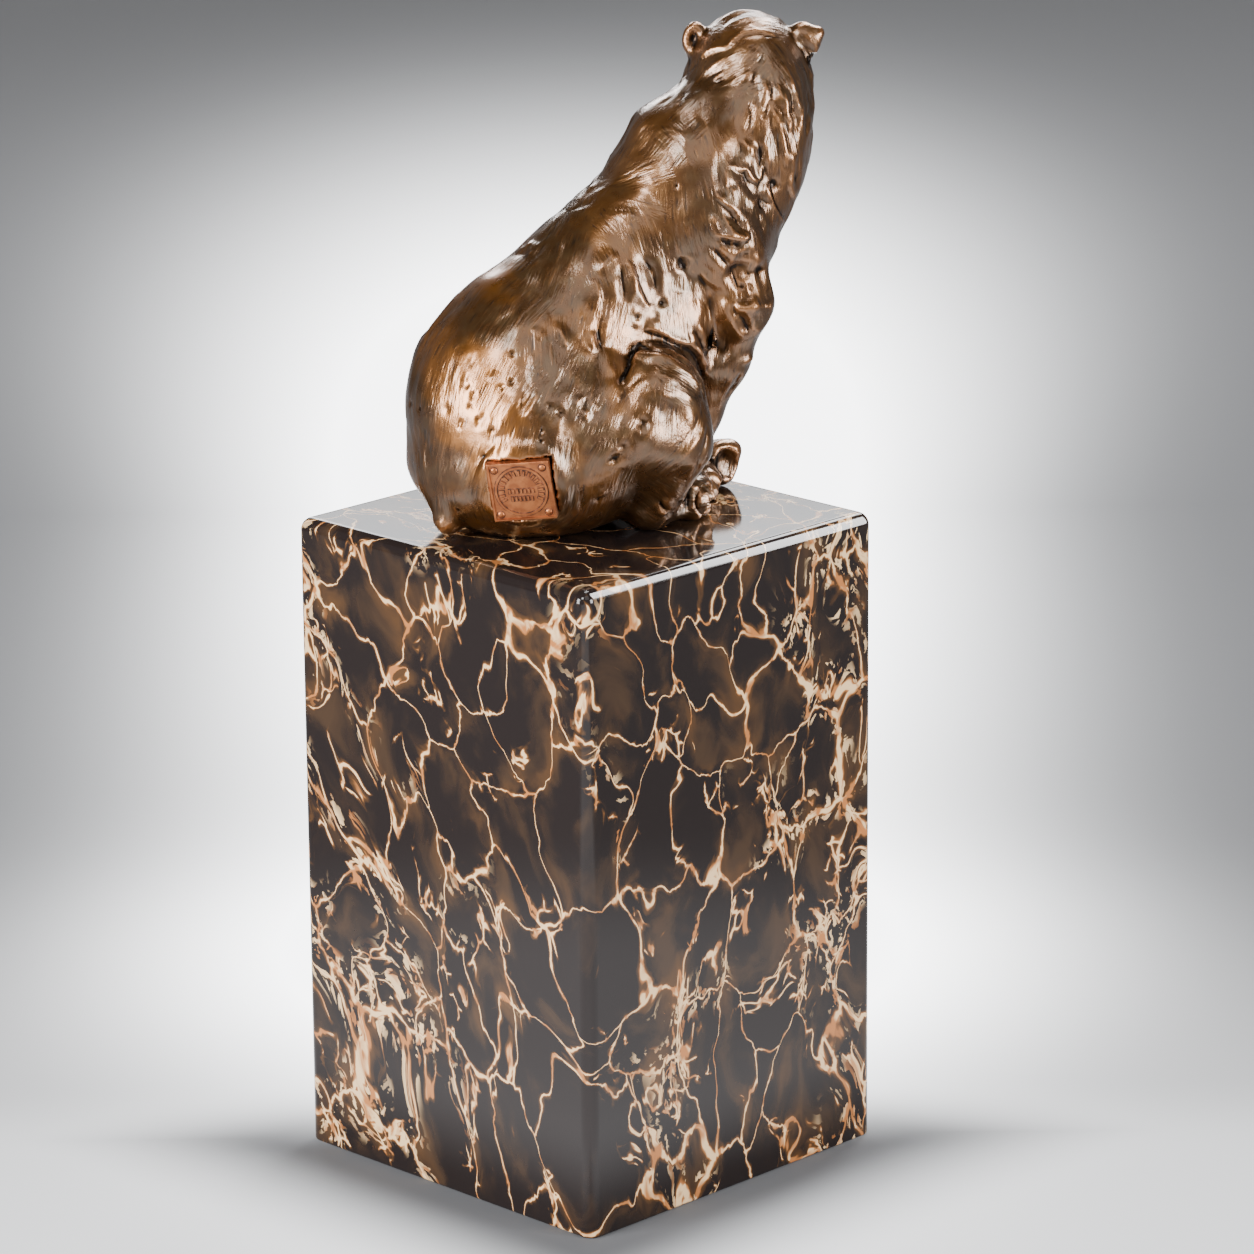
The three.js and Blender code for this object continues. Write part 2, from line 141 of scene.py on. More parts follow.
def spin_round(work: bmesh.types.BMesh, verts: list, edges: list, steps: int) -> None:
    """Turns a profile all the way round the upright axis.

    Args:
        work: The mesh that holds it.
        verts: The profile's corners.
        edges: The edges between them.
        steps: How many sides the turned form has.
    """
    bmesh.ops.spin(
        work,
        geom=verts + edges,
        cent=(0, 0, 0),
        axis=(0, 0, 1),
        dvec=(0, 0, 0),
        angle=2 * math.pi,
        steps=steps,
        use_merge=True,
        use_duplicate=False,
    )


def dress(
    mesh: bpy.types.Mesh, name: str, body: str, slot: str, node: str, *materials: bpy.types.Material
) -> bpy.types.Object:
    """Makes a finished piece that stands for a node of the frame.

    Args:
        mesh: The piece's mesh, in metres and in place.
        name: The piece's name.
        body: The body that it rides on.
        slot: Not used.
        node: The node that it replaces.
        *materials: What fills its material slots.

    Returns:
        The piece.
    """
    piece = bpy.data.objects.new(name, mesh)
    bpy.context.scene.collection.objects.link(piece)
    for material in materials:
        mesh.materials.append(material)
    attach(piece, body)
    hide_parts(node)
    return piece


@dataclass(frozen=True)
class PhotoCamera:
    """The photograph's camera, as fitted to the plinth's seven visible corners."""

    eye: Point = (-1025.5, 1017.7, 555.7)
    yaw: float = -45.18
    pitch: float = -16.3
    roll: float = -0.49
    focal: float = 6130.0
    picture: float = 1254.0
    sensor: float = 36.0

    def axes(self) -> tuple[Vector, Vector, Vector]:
        """Gives the directions to the right, up and ahead in the picture."""
        yaw, pitch, roll = (math.radians(a) for a in (self.yaw, self.pitch, self.roll))
        ahead = Vector(
            (
                math.cos(pitch) * math.cos(yaw),
                math.cos(pitch) * math.sin(yaw),
                math.sin(pitch),
            )
        )
        level = ahead.cross(Vector((0, 0, 1))).normalized()
        upright = level.cross(ahead)
        right = level * math.cos(roll) + upright * math.sin(roll)
        up = upright * math.cos(roll) - level * math.sin(roll)
        return right, up, ahead

    def ray(self, pixel: Pixel) -> Vector:
        """Gives the direction in which the camera sees a pixel.

        Args:
            pixel: The pixel of the photograph, from its top left corner.

        Returns:
            The direction, one long.
        """
        right, up, ahead = self.axes()
        middle = self.picture / 2
        across, down = (pixel[0] - middle) / self.focal, (pixel[1] - middle) / self.focal
        return (ahead + right * across - up * down).normalized()

    def build(self) -> None:
        """Makes the scene's camera."""
        data = bpy.data.cameras.new("photo_camera")
        data.sensor_width = self.sensor
        data.lens = self.focal / self.picture * self.sensor
        data.clip_start = 0.05
        data.clip_end = 50.0
        right, up, ahead = self.axes()
        turned = Matrix((right, up, -ahead)).transposed().to_4x4()
        camera = bpy.data.objects.new("photo_camera", data)
        camera.matrix_world = Matrix.Translation(Vector(self.eye) * MM) @ turned
        bpy.context.scene.collection.objects.link(camera)
        bpy.context.scene.camera = camera


def at(place: Point) -> Vector:
    """Turns a place given as forward, left and up of the bear into its own X, Y and Z."""
    return Vector((place[1], -place[0], place[2]))


def frame_at(
    origin: Point, turn: float = 0.0, pitch: float = 0.0, roll: float = 0.0
) -> Matrix:
    """Makes a frame on the bear.

    Args:
        origin: Its place, forward, left and up, in millimetres.
        turn: Degrees to the bear's left.
        pitch: Degrees up.
        roll: Degrees over to the left.

    Returns:
        The frame's matrix.
    """
    return (
        Matrix.Translation(at(origin))
        @ Matrix.Rotation(math.radians(turn), 4, "Z")
        @ Matrix.Rotation(math.radians(-pitch), 4, "X")
        @ Matrix.Rotation(math.radians(roll), 4, "Y")
    )


BODY = frame_at((0, 0, 0))

# The plate's face on the right of the rump, turned to the bear's right and tipped
PLATE_SEAT = frame_at((-29, -27.2, 15.8), -124, -11.5, -6)


@dataclass(frozen=True)
class Egg:
    """An egg-shaped mass of clay, or one that is taken away."""

    frame: Matrix
    centre: Point
    halves: Point
    turn: Point = (0, 0, 0)
    blend: float = 6.0
    taken: bool = False

    def reach(self) -> tuple[np.ndarray, float]:
        """Gives the middle, and how far the mass goes from it."""
        middle = (self.frame @ frame_at(self.centre)).translation
        return np.array(middle), max(self.halves)

    def distance(self, points: np.ndarray) -> np.ndarray:
        """Measures how far points are from the mass.

        Args:
            points: The points, in millimetres on the bear.

        Returns:
            About how far each one is, negative inside.
        """
        inverse = np.array((self.frame @ frame_at(self.centre, *self.turn)).inverted())
        local = points @ inverse[:3, :3].T + inverse[:3, 3]
        halves = np.array((self.halves[1], self.halves[0], self.halves[2]))
        near = np.linalg.norm(local / halves, axis=1)
        steep = np.linalg.norm(local / halves**2, axis=1)
        return near * (near - 1) / np.maximum(steep, 1e-9)


@dataclass(frozen=True)
class Limb:
    """A round, tapered length of clay from one place to another."""

    frame: Matrix
    start: Point
    end: Point
    start_radius: float
    end_radius: float
    blend: float = 5.0
    taken: bool = False

    def ends(self) -> tuple[np.ndarray, np.ndarray]:
        """Gives both ends on the bear."""
        return tuple(np.array(self.frame @ at(place)) for place in (self.start, self.end))

    def reach(self) -> tuple[np.ndarray, float]:
        """Gives the middle, and how far the mass goes from it."""
        start, end = self.ends()
        widest = max(self.start_radius, self.end_radius)
        return (start + end) / 2, float(np.linalg.norm(end - start)) / 2 + widest

    def distance(self, points: np.ndarray) -> np.ndarray:
        """Measures how far points are from the mass.

        Args:
            points: The points, in millimetres on the bear.

        Returns:
            About how far each one is, negative inside.
        """
        start, end = self.ends()
        line = end - start
        share = np.clip((points - start) @ line / (line @ line), 0, 1)
        radius = self.start_radius + (self.end_radius - self.start_radius) * share
        return np.linalg.norm(points - start - share[:, None] * line, axis=1) - radius


def soft_lower(first: np.ndarray, second: np.ndarray, blend: float) -> np.ndarray:
    """Gives the lower of two distances, rounded over where they meet."""
    share = np.maximum(blend - np.abs(first - second), 0) / blend
    return np.minimum(first, second) - share**2 * blend / 4


@dataclass
class Clay:
    """The bear's masses, as in the solid, with toes, claws, muzzle and eyes worked finer."""

    plate_seat: Matrix

    def trunk(self) -> list[Egg | Limb]:
        """Gives the rump, loins, belly, chest, withers, neck and tail."""
        return [
            Egg(BODY, (-16, 0, 30), (29.5, 27, 30), (0, 8, 0)),
            Egg(BODY, (-13, 0, 15), (31.5, 29, 18)),
            Limb(BODY, (-12, 0, 46), (20, 0, 72), 19, 17, 8),
            Egg(BODY, (6, 0, 42), (22, 21, 27), (0, 20, 0), 8),
            Egg(BODY, (29, 0, 66), (17, 20, 24), blend=8),
            Egg(BODY, (27, 0, 86), (16, 17, 15)),
            Limb(BODY, (34, -1, 84), (47, 3, 101), 16, 15, 6),
            Egg(BODY, (46, -5, 88), (12, 13, 21), (0, -12, 0), 5),
            Limb(BODY, (44, -7, 80), (38, -9, 66), 8.8, 8.6, 4),
            Egg(BODY, (17, -7, 46), (16, 14, 17)),
            Egg(BODY, (17, 7, 46), (16, 14, 17)),
            Limb(BODY, (-38, -4.5, 14), (-39.4, -5.8, 4.4), 4.4, 3.5, 2.5),
        ]

    def hind_leg(self, side: int, knee: Point, heel: Point, toes: Point) -> list[Egg | Limb]:
        """Shapes a hind leg.

        Args:
            side: 1 for the bear's left and -1 for its right.
            knee: The knee, with its distance from the middle as a positive number.
            heel: The heel, likewise.
            toes: The toes, likewise, at half the foot's height.

        Returns:
            The masses from the hip to the toes.
        """
        k, h, t = ((p[0], side * p[1], p[2]) for p in (knee, heel, toes))
        hip_end = (k[0] - 6, side * (knee[1] - 3), k[2] - 4)
        shin_top = (k[0] + 3, side * (knee[1] + 1), k[2] - 8)
        return [
            Limb(BODY, (-16, side * 13, 24), hip_end, 19, 14, 8),
            Egg(BODY, k, (12.4, 10, 16), (0, 8, 0), 2.5),
            Limb(BODY, shin_top, (h[0], h[1], h[2] + 3), 9.5, 7, 4),
            Limb(BODY, h, t, t[2], t[2], 3),
        ]

    def sole(self, place: Matrix) -> list[Egg | Limb]:
        """Shapes the upright sole of a hind foot.

        Args:
            place: The sole's middle, which faces forward in it.

        Returns:
            A dish with a rim, a pad and four toes.
        """
        masses: list[Egg | Limb] = [Egg(place, (-0.8, 0, 0), (4.4, 5, 5.6), blend=2.5)]
        for toe in (-1.5, -0.5, 0.5, 1.5):
            top = 3.6 - 0.7 * abs(toe)
            masses.append(Egg(place, (0.2, toe * 2.3, top + 0.5), (2.0, 1.6, 1.7), blend=2.6))
        masses.append(Egg(place, (3.7, 0, -0.3), (2.7, 3.8, 4.4), blend=0.6, taken=True))
        masses.append(Egg(place, (0.2, 0.3, -1.4), (0.9, 2.4, 2.2), blend=1.6))
        return masses

    def foreleg(self, side: int, *stations: Point) -> list[Egg | Limb]:
        """Shapes a foreleg.

        Args:
            side: 1 for the bear's left and -1 for its right.
            *stations: The elbow, forearm, wrist and paw, with their distances from the
                middle as positive numbers.

        Returns:
            The masses from the shoulder to the claws.
        """
        elbow, forearm, wrist, paw = ((p[0], side * p[1], p[2]) for p in stations)
        place = frame_at(paw, side * -12)
        masses: list[Egg | Limb] = [
            Egg(BODY, (31, side * 14, 70), (11, 8, 14), (0, 6, 0)),
            Limb(BODY, (32, side * 15, 68), elbow, 9, 7.4, 3),
            Limb(BODY, elbow, forearm, 7.4, 6.6, 3),
            Limb(BODY, forearm, wrist, 6.6, 5.6, 3),
            Limb(BODY, wrist, paw, 5.6, 5.2, 2),
            Egg(place, (3, 0, 0), (8, 5.8, 4.8), blend=2),
        ]
        for toe in (-1.5, -0.5, 0.5, 1.5):
            root = (9.5 - abs(toe), toe * 2.9, -1.2)
            masses.append(Egg(place, root, (3, 1.7, 3), (toe * -6, 0, 0), 1))
            claw = (14.2 - abs(toe), toe * 3.2, -3.4)
            masses.append(Limb(place, (11.2 - abs(toe), toe * 2.9, -0.6), claw, 1.2, 0.5, 0.6))
        return masses

    def head(self) -> list[Egg | Limb]:
        """Gives the head, which looks over the bear's left shoulder."""
        skull = frame_at((47, 4, 107.5), 62)
        masses: list[Egg | Limb] = [
            Egg(skull, (0, 0, 0), (13.6, 13.2, 12.2), blend=4),
            Egg(skull, (2, 0, -4.6), (12, 15, 9.6), blend=4),
            Limb(skull, (8, 0, -3.6), (19.6, 0, -6.2), 8.4, 6.2, 4),
            Egg(skull, (15, 0, -10.2), (9.4, 5, 3.6), (0, -8, 0), 2),
            Egg(skull, (25.4, 0, -3.6), (2.6, 3.4, 2.5), (0, -10, 0), 1.2),
        ]
        for side in (-1, 1):
            masses += [
                Egg(skull, (8.4, side * 5.8, 3.4), (3.6, 3.2, 2.4), blend=2),
                Egg(skull, (13.4, side * 6, 0.2), (2.2, 1.8, 1.4), blend=1, taken=True),
                Egg(skull, (12.2, side * 5.7, 0.2), (1.7, 1.35, 1.25), blend=0.3),
                Egg(skull, (27.6, side * 1.7, -3.4), (1.3, 0.85, 0.9), blend=0.4, taken=True),
                Egg(skull, (22.4, side * 2.6, -8.2), (4.2, 2.2, 2.4), (side * 10, 0, 0), 1.2),
            ]
        masses += [
            Egg(skull, (-1, -13.6, 5), (2.6, 3.4, 4.4), blend=2),
            Limb(skull, (-1, -13, 6.2), (-0.8, -17.4, 7), 2.6, 1.3, 2),
            Limb(skull, (-0.8, -17.2, 6.6), (-1.8, -15.8, 1.4), 1.3, 1.3, 2),
            Egg(skull, (-1, 13, 5.2), (2.4, 3.2, 4.6), (0, 0, -10), 1.6),
            Egg(skull, (-3.7, 13.2, 6), (1.9, 1.2, 2.3), (0, 0, -10), 1.2, taken=True),
        ]
        return masses

    def masses(self) -> list[Egg | Limb]:
        """Gives every mass, in the order in which the clay goes on."""
        return [
            *self.trunk(),
            *self.hind_leg(-1, (9, 24, 30), (8, 20, 4), (19, 15, 3.6)),
            *self.sole(frame_at((23, -15.5, 4.3), -62, 8)),
            *self.hind_leg(1, (14, 23, 28), (33, 17, 5), (38, 12, 4.6)),
            *self.sole(frame_at((41.6, 8.6, 5.6), -85, 8)),
            *self.foreleg(-1, (34.5, 17.5, 53), (31, 13.5, 39), (27, 9, 25), (21, 5, 4.8)),
            *self.foreleg(1, (36, 16, 53), (34, 13, 39), (31, 9, 25), (27, 6, 4.8)),
            *self.head(),
            Egg(self.plate_seat, (-2.4, 0, 0), (3, 10, 10), blend=4),
        ]

    def distance(self, points: np.ndarray, masses: list[Egg | Limb]) -> np.ndarray:
        """Measures how far points are from the whole figure, cut flat where it sits.

        Args:
            points: The points, in millimetres on the bear.
            masses: The figure's masses.

        Returns:
            About how far each one is, negative inside.
        """
        found = np.full(len(points), 1e3)
        for mass in masses:
            middle, reach = mass.reach()
            sofar = -found if mass.taken else found
            gap = np.linalg.norm(points - middle, axis=1) - reach
            near = gap <= sofar + mass.blend
            if not near.any():
                continue
            joined = soft_lower(sofar[near], mass.distance(points[near]), mass.blend)
            found[near] = -joined if mass.taken else joined
        return np.maximum(found, -points[:, 2])

    def settle(self, points: np.ndarray, rounds: int = 3) -> np.ndarray:
        """Moves points onto the figure's surface.

        Args:
            points: Points near the surface, in millimetres.
            rounds: How often the way to the surface is worked out again.

        Returns:
            The moved points.
        """
        masses = self.masses()
        step, longest = 0.08, 0.9
        corners = np.array(((1, 1, 1), (1, -1, -1), (-1, 1, -1), (-1, -1, 1)))
        for _ in range(rounds):
            samples = [self.distance(points + step * c, masses) for c in corners]
            slope = sum(s[:, None] * c for s, c in zip(samples, corners)) / (4 * step)
            height = sum(samples) / 4
            steep = np.maximum((slope**2).sum(1), 0.2)
            move = np.clip(height / steep, -longest, longest)
            points = points - move[:, None] * slope
        return points


class Tool(Enum):
    """The sculptor's tools."""

    CREASE = "a cut line"
    RIDGE = "a raised line"
    FLAP = "an edge that overlaps what is to the right of the stroke"
    DENT = "a thumbed hollow"
    FACET = "a plane pressed flat"


@dataclass(frozen=True)
class Stroke:
    """One stroke, drawn over the photograph from the camera.

    Its height and width are in millimetres. The far side of the bear gets it mirrored,
    unless it is single.
    """

    tool: Tool
    height: float
    width: float
    path: tuple[Pixel, ...]
    single: bool = False


def smooth_path(points: np.ndarray, step: float) -> np.ndarray:
    """Runs a smooth curve through points.

    Args:
        points: The points, one in each row.
        step: About how far apart the new ones are.

    Returns:
        The points of the curve.
    """
    if len(points) < 2:
        return points
    padded = np.vstack((2 * points[0] - points[1], points, 2 * points[-1] - points[-2]))
    curve = []
    for a, b, c, d in zip(padded, padded[1:], padded[2:], padded[3:]):
        count = max(1, int(np.linalg.norm(c - b) / step))
        for t in np.arange(count) / count:
            line = 2 * b + (c - a) * t + (2 * a - 5 * b + 4 * c - d) * t**2
            curve.append((line + (3 * b - a - 3 * c + d) * t**3) / 2)
    return np.array(curve + [points[-1]])


class Surface:
    """The bear's skin as arrays, in millimetres and in its own X, Y and Z."""

    def __init__(self, mesh: bpy.types.Mesh) -> None:
        """Reads a mesh of quads.

        Args:
            mesh: The mesh, which keeps its faces from here on.
        """
        self.mesh = mesh
        count = len(mesh.vertices)
        self.points = np.empty(count * 3, np.float32)
        mesh.vertices.foreach_get("co", self.points)
        self.points = self.points.reshape(-1, 3).astype(float)
        edges = np.empty(len(mesh.edges) * 2, np.int32)
        mesh.edges.foreach_get("vertices", edges)
        corners = np.empty(len(mesh.loops), np.int32)
        mesh.loops.foreach_get("vertex_index", corners)
        starts = np.empty(len(mesh.polygons), np.int32)
        totals = np.empty(len(mesh.polygons), np.int32)
        mesh.polygons.foreach_get("loop_start", starts)
        mesh.polygons.foreach_get("loop_total", totals)
        quads = starts[totals == 4]
        cross = [np.stack((corners[quads + n], corners[quads + n + 2]), 1) for n in (0, 1)]
        self.edges = edges.reshape(-1, 2)
        self.links = np.vstack((self.edges, *cross))
        self.refresh()

    def refresh(self) -> None:
        """Writes the points to the mesh and reads its normals."""
        self.mesh.vertices.foreach_set("co", self.points.astype(np.float32).ravel())
        self.mesh.update()
        normals = np.empty(len(self.points) * 3, np.float32)
        self.mesh.vertex_normals.foreach_get("vector", normals)
        self.normals = normals.reshape(-1, 3).astype(float)

    def raise_by(self, height: np.ndarray) -> None:
        """Moves the skin outwards by a height at each point."""
        self.points += self.normals * height[:, None]
        self.refresh()

    def gather(self, values: np.ndarray, links: np.ndarray, weights: np.ndarray) -> np.ndarray:
        """Averages over each point's neighbours.

        Args:
            values: One number for each point.
            links: Pairs of points.
            weights: How much each pair counts.

        Returns:
            The averages.
        """
        count = len(values)
        a, b = links.T
        total = np.bincount(a, weights * values[b], count)
        total += np.bincount(b, weights * values[a], count)
        share = np.bincount(a, weights, count) + np.bincount(b, weights, count)
        return np.where(share > 1e-9, total / np.maximum(share, 1e-9), values)

    def even(self, values: np.ndarray, rounds: int) -> np.ndarray:
        """Spreads values evenly over their neighbours.

        Args:
            values: One number for each point.
            rounds: How far they spread.

        Returns:
            The spread values.
        """
        weights = np.ones(len(self.links))
        for _ in range(rounds):
            values = 0.35 * values + 0.65 * self.gather(values, self.links, weights)
        return values

    def comb(self, values: np.ndarray, flow: np.ndarray, rounds: int) -> np.ndarray:
        """Draws values out into streaks.

        Args:
            values: One number for each point.
            flow: The direction of the hair at each point.
            rounds: How long the streaks get.

        Returns:
            The streaks, with a mean of 0 and a spread of 1.
        """
        a, b = self.links.T
        line = self.points[b] - self.points[a]
        line /= np.maximum(np.linalg.norm(line, axis=1), 1e-9)[:, None]
        weights = np.abs((line * (flow[a] + flow[b]) / 2).sum(1)) ** 10 + 1e-4
        for _ in range(rounds):
            values = 0.3 * values + 0.7 * self.gather(values, self.links, weights)
        return (values - values.mean()) / values.std()

    def bulge(self, rounds: int) -> np.ndarray:
        """Gives how far each point stands out from the evened skin around it."""
        evened = np.stack([self.even(self.points[:, n], rounds) for n in range(3)], 1)
        return ((self.points - evened) * self.normals).sum(1)

    def keep(self, name: str, values: np.ndarray) -> None:
        """Writes one number for each point to the mesh for the finish to read."""
        attribute = self.mesh.attributes.new(name, "FLOAT", "POINT")
        attribute.data.foreach_set("value", values.astype(np.float32))


def waves(points: np.ndarray, length: float, seed: int) -> np.ndarray:
    """Gives soft, uneven lumps.

    Args:
        points: Points in millimetres.
        length: The lumps' spacing in millimetres.
        seed: What the lumps are drawn from.

    Returns:
        The lumps' heights, with a spread of about 1.
    """
    chance = np.random.default_rng(seed)
    total = np.zeros(len(points))
    count = 22
    for _ in range(count):
        way = chance.normal(size=3)
        way *= 2 * math.pi / length / np.linalg.norm(way) * chance.uniform(0.6, 1.5)
        total += np.sin(points @ way + chance.uniform(0, 2 * math.pi))
    return total * math.sqrt(2 / count)


CREASE, RIDGE, FLAP, DENT, FACET = Tool

HEAD_STROKES = (
    Stroke(
        FLAP,
        0.8,
        3.0,
        ((700, 59), (713, 50.5), (728, 47), (737, 38.6), (747, 33), (762, 31.6), (779, 37)),
        True,
    ),
    Stroke(CREASE, 0.3, 0.7, ((750, 24), (757, 25), (765, 30)), True),
    Stroke(CREASE, 0.4, 0.8, ((721, 43.5), (734, 34), (742, 29.5)), True),
    Stroke(RIDGE, 0.3, 0.7, ((724, 67), (714, 83), (708.6, 91)), True),
    Stroke(CREASE, 0.3, 0.8, ((700, 60), (683, 78.6), (672, 95.4), (658, 104.5)), True),
    Stroke(CREASE, 0.3, 0.7, ((697, 73), (686, 90), (678, 106.6)), True),
    Stroke(RIDGE, 0.25, 0.8, ((693, 66), (680, 84), (668, 100)), True),
    Stroke(CREASE, 0.5, 0.8, ((764.7, 50.5), (760.5, 63)), True),
    Stroke(CREASE, 0.6, 0.9, ((757, 71.6), (752, 82.8)), True),
    Stroke(RIDGE, 0.6, 1.0, ((784, 61.7), (791, 77), (795.6, 89.8)), True),
    Stroke(RIDGE, 0.8, 1.1, ((778.7, 82.8), (784, 96.8), (788.6, 116.5), (792.8, 130.5)), True),
    Stroke(RIDGE, 0.5, 0.9, ((794, 59), (798, 73), (804, 87)), True),
    Stroke(CREASE, 0.7, 1.0, ((764.7, 117.9), (770.3, 98.2), (774.5, 84.2)), True),
    Stroke(CREASE, 0.7, 1.0, ((795, 96), (797, 120), (796, 140)), True),
    Stroke(RIDGE, 0.9, 0.8, ((776, 108), (781.5, 126), (785.7, 146), (788, 167)), True),
    Stroke(CREASE, 0.6, 0.8, ((749, 102.4), (752, 116.5), (749, 132)), True),
    Stroke(RIDGE, 0.6, 0.8, ((742, 137.5), (752, 150), (753.5, 158.5)), True),
    Stroke(CREASE, 0.8, 0.8, ((760.5, 140), (762, 154), (760.5, 168)), True),
    Stroke(CREASE, 0.6, 0.9, ((805.4, 106.6), (808, 123.5), (806.8, 134.7)), True),
    Stroke(RIDGE, 0.5, 0.9, ((813.8, 70), (818, 84), (816, 104)), True),
    Stroke(CREASE, 0.6, 0.9, ((809, 88), (812, 104), (808, 120)), True),
)

NECK_STROKES = (
    Stroke(
        FLAP,
        1.0,
        2.6,
        (
            (731, 164),
            (739.4, 170.5),
            (746.5, 170.5),
            (749, 176.8),
            (756.3, 182.4),
            (761.9, 178.2),
            (764, 161.4),
        ),
    ),
    Stroke(FLAP, 0.9, 2.4, ((786.4, 223), (776.6, 206), (771.7, 190.7), (772.4, 178))),
    Stroke(DENT, 0.9, 1.4, ((775, 183),)),
    Stroke(FLAP, 0.8, 2.6, ((716.3, 190.7), (719, 199), (727.5, 206), (737.3, 211.7))),
    Stroke(CREASE, 0.8, 0.9, ((724.7, 209), (735.9, 218.8), (744.3, 228.6), (748.6, 234.2))),
    Stroke(RIDGE, 0.6, 0.8, ((712, 213), (715.6, 224.4), (713.5, 234.2))),
    Stroke(CREASE, 0.7, 0.9, ((744, 172), (752, 190), (766, 200), (772, 206))),
    Stroke(FLAP, 0.7, 2.0, ((789, 150), (793, 168), (790, 186), (797, 204))),
    Stroke(CREASE, 0.7, 1.0, ((801, 150), (797, 170), (799, 188))),
    Stroke(RIDGE, 0.5, 1.2, ((754, 196), (764, 214), (770, 230))),
    Stroke(DENT, 0.7, 1.4, ((764, 206),)),
    Stroke(
        FLAP,
        1.3,
        2.6,
        ((713.5, 234.9), (724.7, 237.7), (738.7, 240.5), (747.1, 239.8), (749.3, 234.2), (744, 228)),
    ),
    Stroke(CREASE, 1.0, 1.0, ((719, 241.6), (730.3, 244), (745.7, 245.4))),
    Stroke(DENT, 1.0, 5.0, ((644, 141),)),
)

ARM_STROKES = (
    Stroke(RIDGE, 0.6, 1.8, ((748.6, 247), (759.8, 246), (764, 250), (762, 257), (751, 261), (739, 258))),
    Stroke(CREASE, 1.4, 1.1, ((712, 242.6), (720.5, 256), (730.3, 266.5), (733, 276.3), (741.5, 291.7))),
    Stroke(CREASE, 1.2, 1.1, ((734.5, 300), (734.5, 311.4), (744.3, 322.6), (750, 331), (757, 333.8))),
    Stroke(FACET, 1.4, 5.0, ((745, 283),)),
    Stroke(FACET, 1.3, 4.8, ((766, 285),)),
    Stroke(FACET, 0.9, 3.6, ((750, 321),)),
    Stroke(FACET, 0.8, 3.4, ((764, 318),)),
    Stroke(FACET, 0.8, 3.4, ((746, 266),)),
    Stroke(RIDGE, 0.3, 0.8, ((758.4, 262.3), (757, 280.5), (758.4, 297.3), (754.2, 308.6))),
    Stroke(RIDGE, 0.3, 0.8, ((740, 311.4), (752.8, 309.3), (758.4, 315.6))),
    Stroke(DENT, 0.6, 0.8, ((744.5, 286),)),
    Stroke(DENT, 0.5, 0.7, ((754, 286),)),
    Stroke(RIDGE, 0.6, 0.9, ((743, 364.7), (754, 356.3), (760, 346.4))),
    Stroke(CREASE, 0.8, 1.0, ((741, 372), (736, 384), (727, 398))),
    Stroke(DENT, 2.6, 4.6, ((724, 350),)),
)

FLANK_STROKES = (
    Stroke(CREASE, 1.5, 1.0, ((679.5, 256), (682, 262), (687, 270))),
    Stroke(RIDGE, 0.5, 0.9, ((678.4, 269.3), (682, 280), (686.8, 290.3))),
    Stroke(FLAP, 0.9, 3.0, ((653, 305.7), (646, 301.5), (637.7, 283.3), (630.7, 258))),
    Stroke(CREASE, 0.8, 1.2, ((639, 255), (651.7, 269.3), (657.4, 290.3))),
    Stroke(CREASE, 0.9, 1.2, ((621.6, 262), (623, 283.3), (625, 303))),
    Stroke(FLAP, 0.8, 2.4, ((597, 311.4), (600.5, 297.3), (597, 276.3))),
    Stroke(RIDGE, 0.7, 1.6, ((617, 251), (606, 262), (598.4, 274))),
    Stroke(RIDGE, 0.5, 1.0, ((611, 312), (606, 328), (603, 344))),
    Stroke(RIDGE, 0.6, 1.0, ((591.4, 330), (592, 341), (594.2, 352))),
    Stroke(CREASE, 0.6, 1.0, ((600, 316), (598, 334), (602, 350))),
    Stroke(RIDGE, 0.4, 0.9, ((700, 268), (708, 280), (722, 287))),
    Stroke(CREASE, 0.4, 0.9, ((697, 272), (705, 283), (716, 289))),
    Stroke(CREASE, 0.6, 0.7, ((633.5, 318.4), (640.5, 315.6))),
    Stroke(CREASE, 0.5, 0.7, ((651.7, 316.3), (660.2, 315.6))),
    Stroke(DENT, 0.7, 0.8, ((662.3, 302.2),)),
    Stroke(
        FLAP,
        1.2,
        3.0,
        ((643.3, 328.2), (660.2, 333.8), (677, 342.2), (691, 346), (699.4, 356.3), (703, 370)),
    ),
    Stroke(
        CREASE,
        0.8,
        0.9,
        ((639, 343), (650.3, 349), (668.6, 352), (681, 359), (693.8, 369), (702, 384), (707, 402)),
    ),
    Stroke(RIDGE, 0.6, 0.8, ((688, 331), (698, 346.4), (706.5, 364.7), (709, 380))),
    Stroke(RIDGE, 0.6, 0.8, ((699.4, 322.6), (703.7, 336.6), (709.3, 353.5))),
    Stroke(CREASE, 0.7, 0.8, ((694, 328), (702, 344), (709, 362))),
    Stroke(RIDGE, 1.0, 1.7, ((606, 348), (609, 362), (611.2, 376.3), (616, 394), (621, 399))),
    Stroke(CREASE, 1.2, 1.0, ((641, 341), (632, 353.9), (627, 367), (617.5, 386))),
)

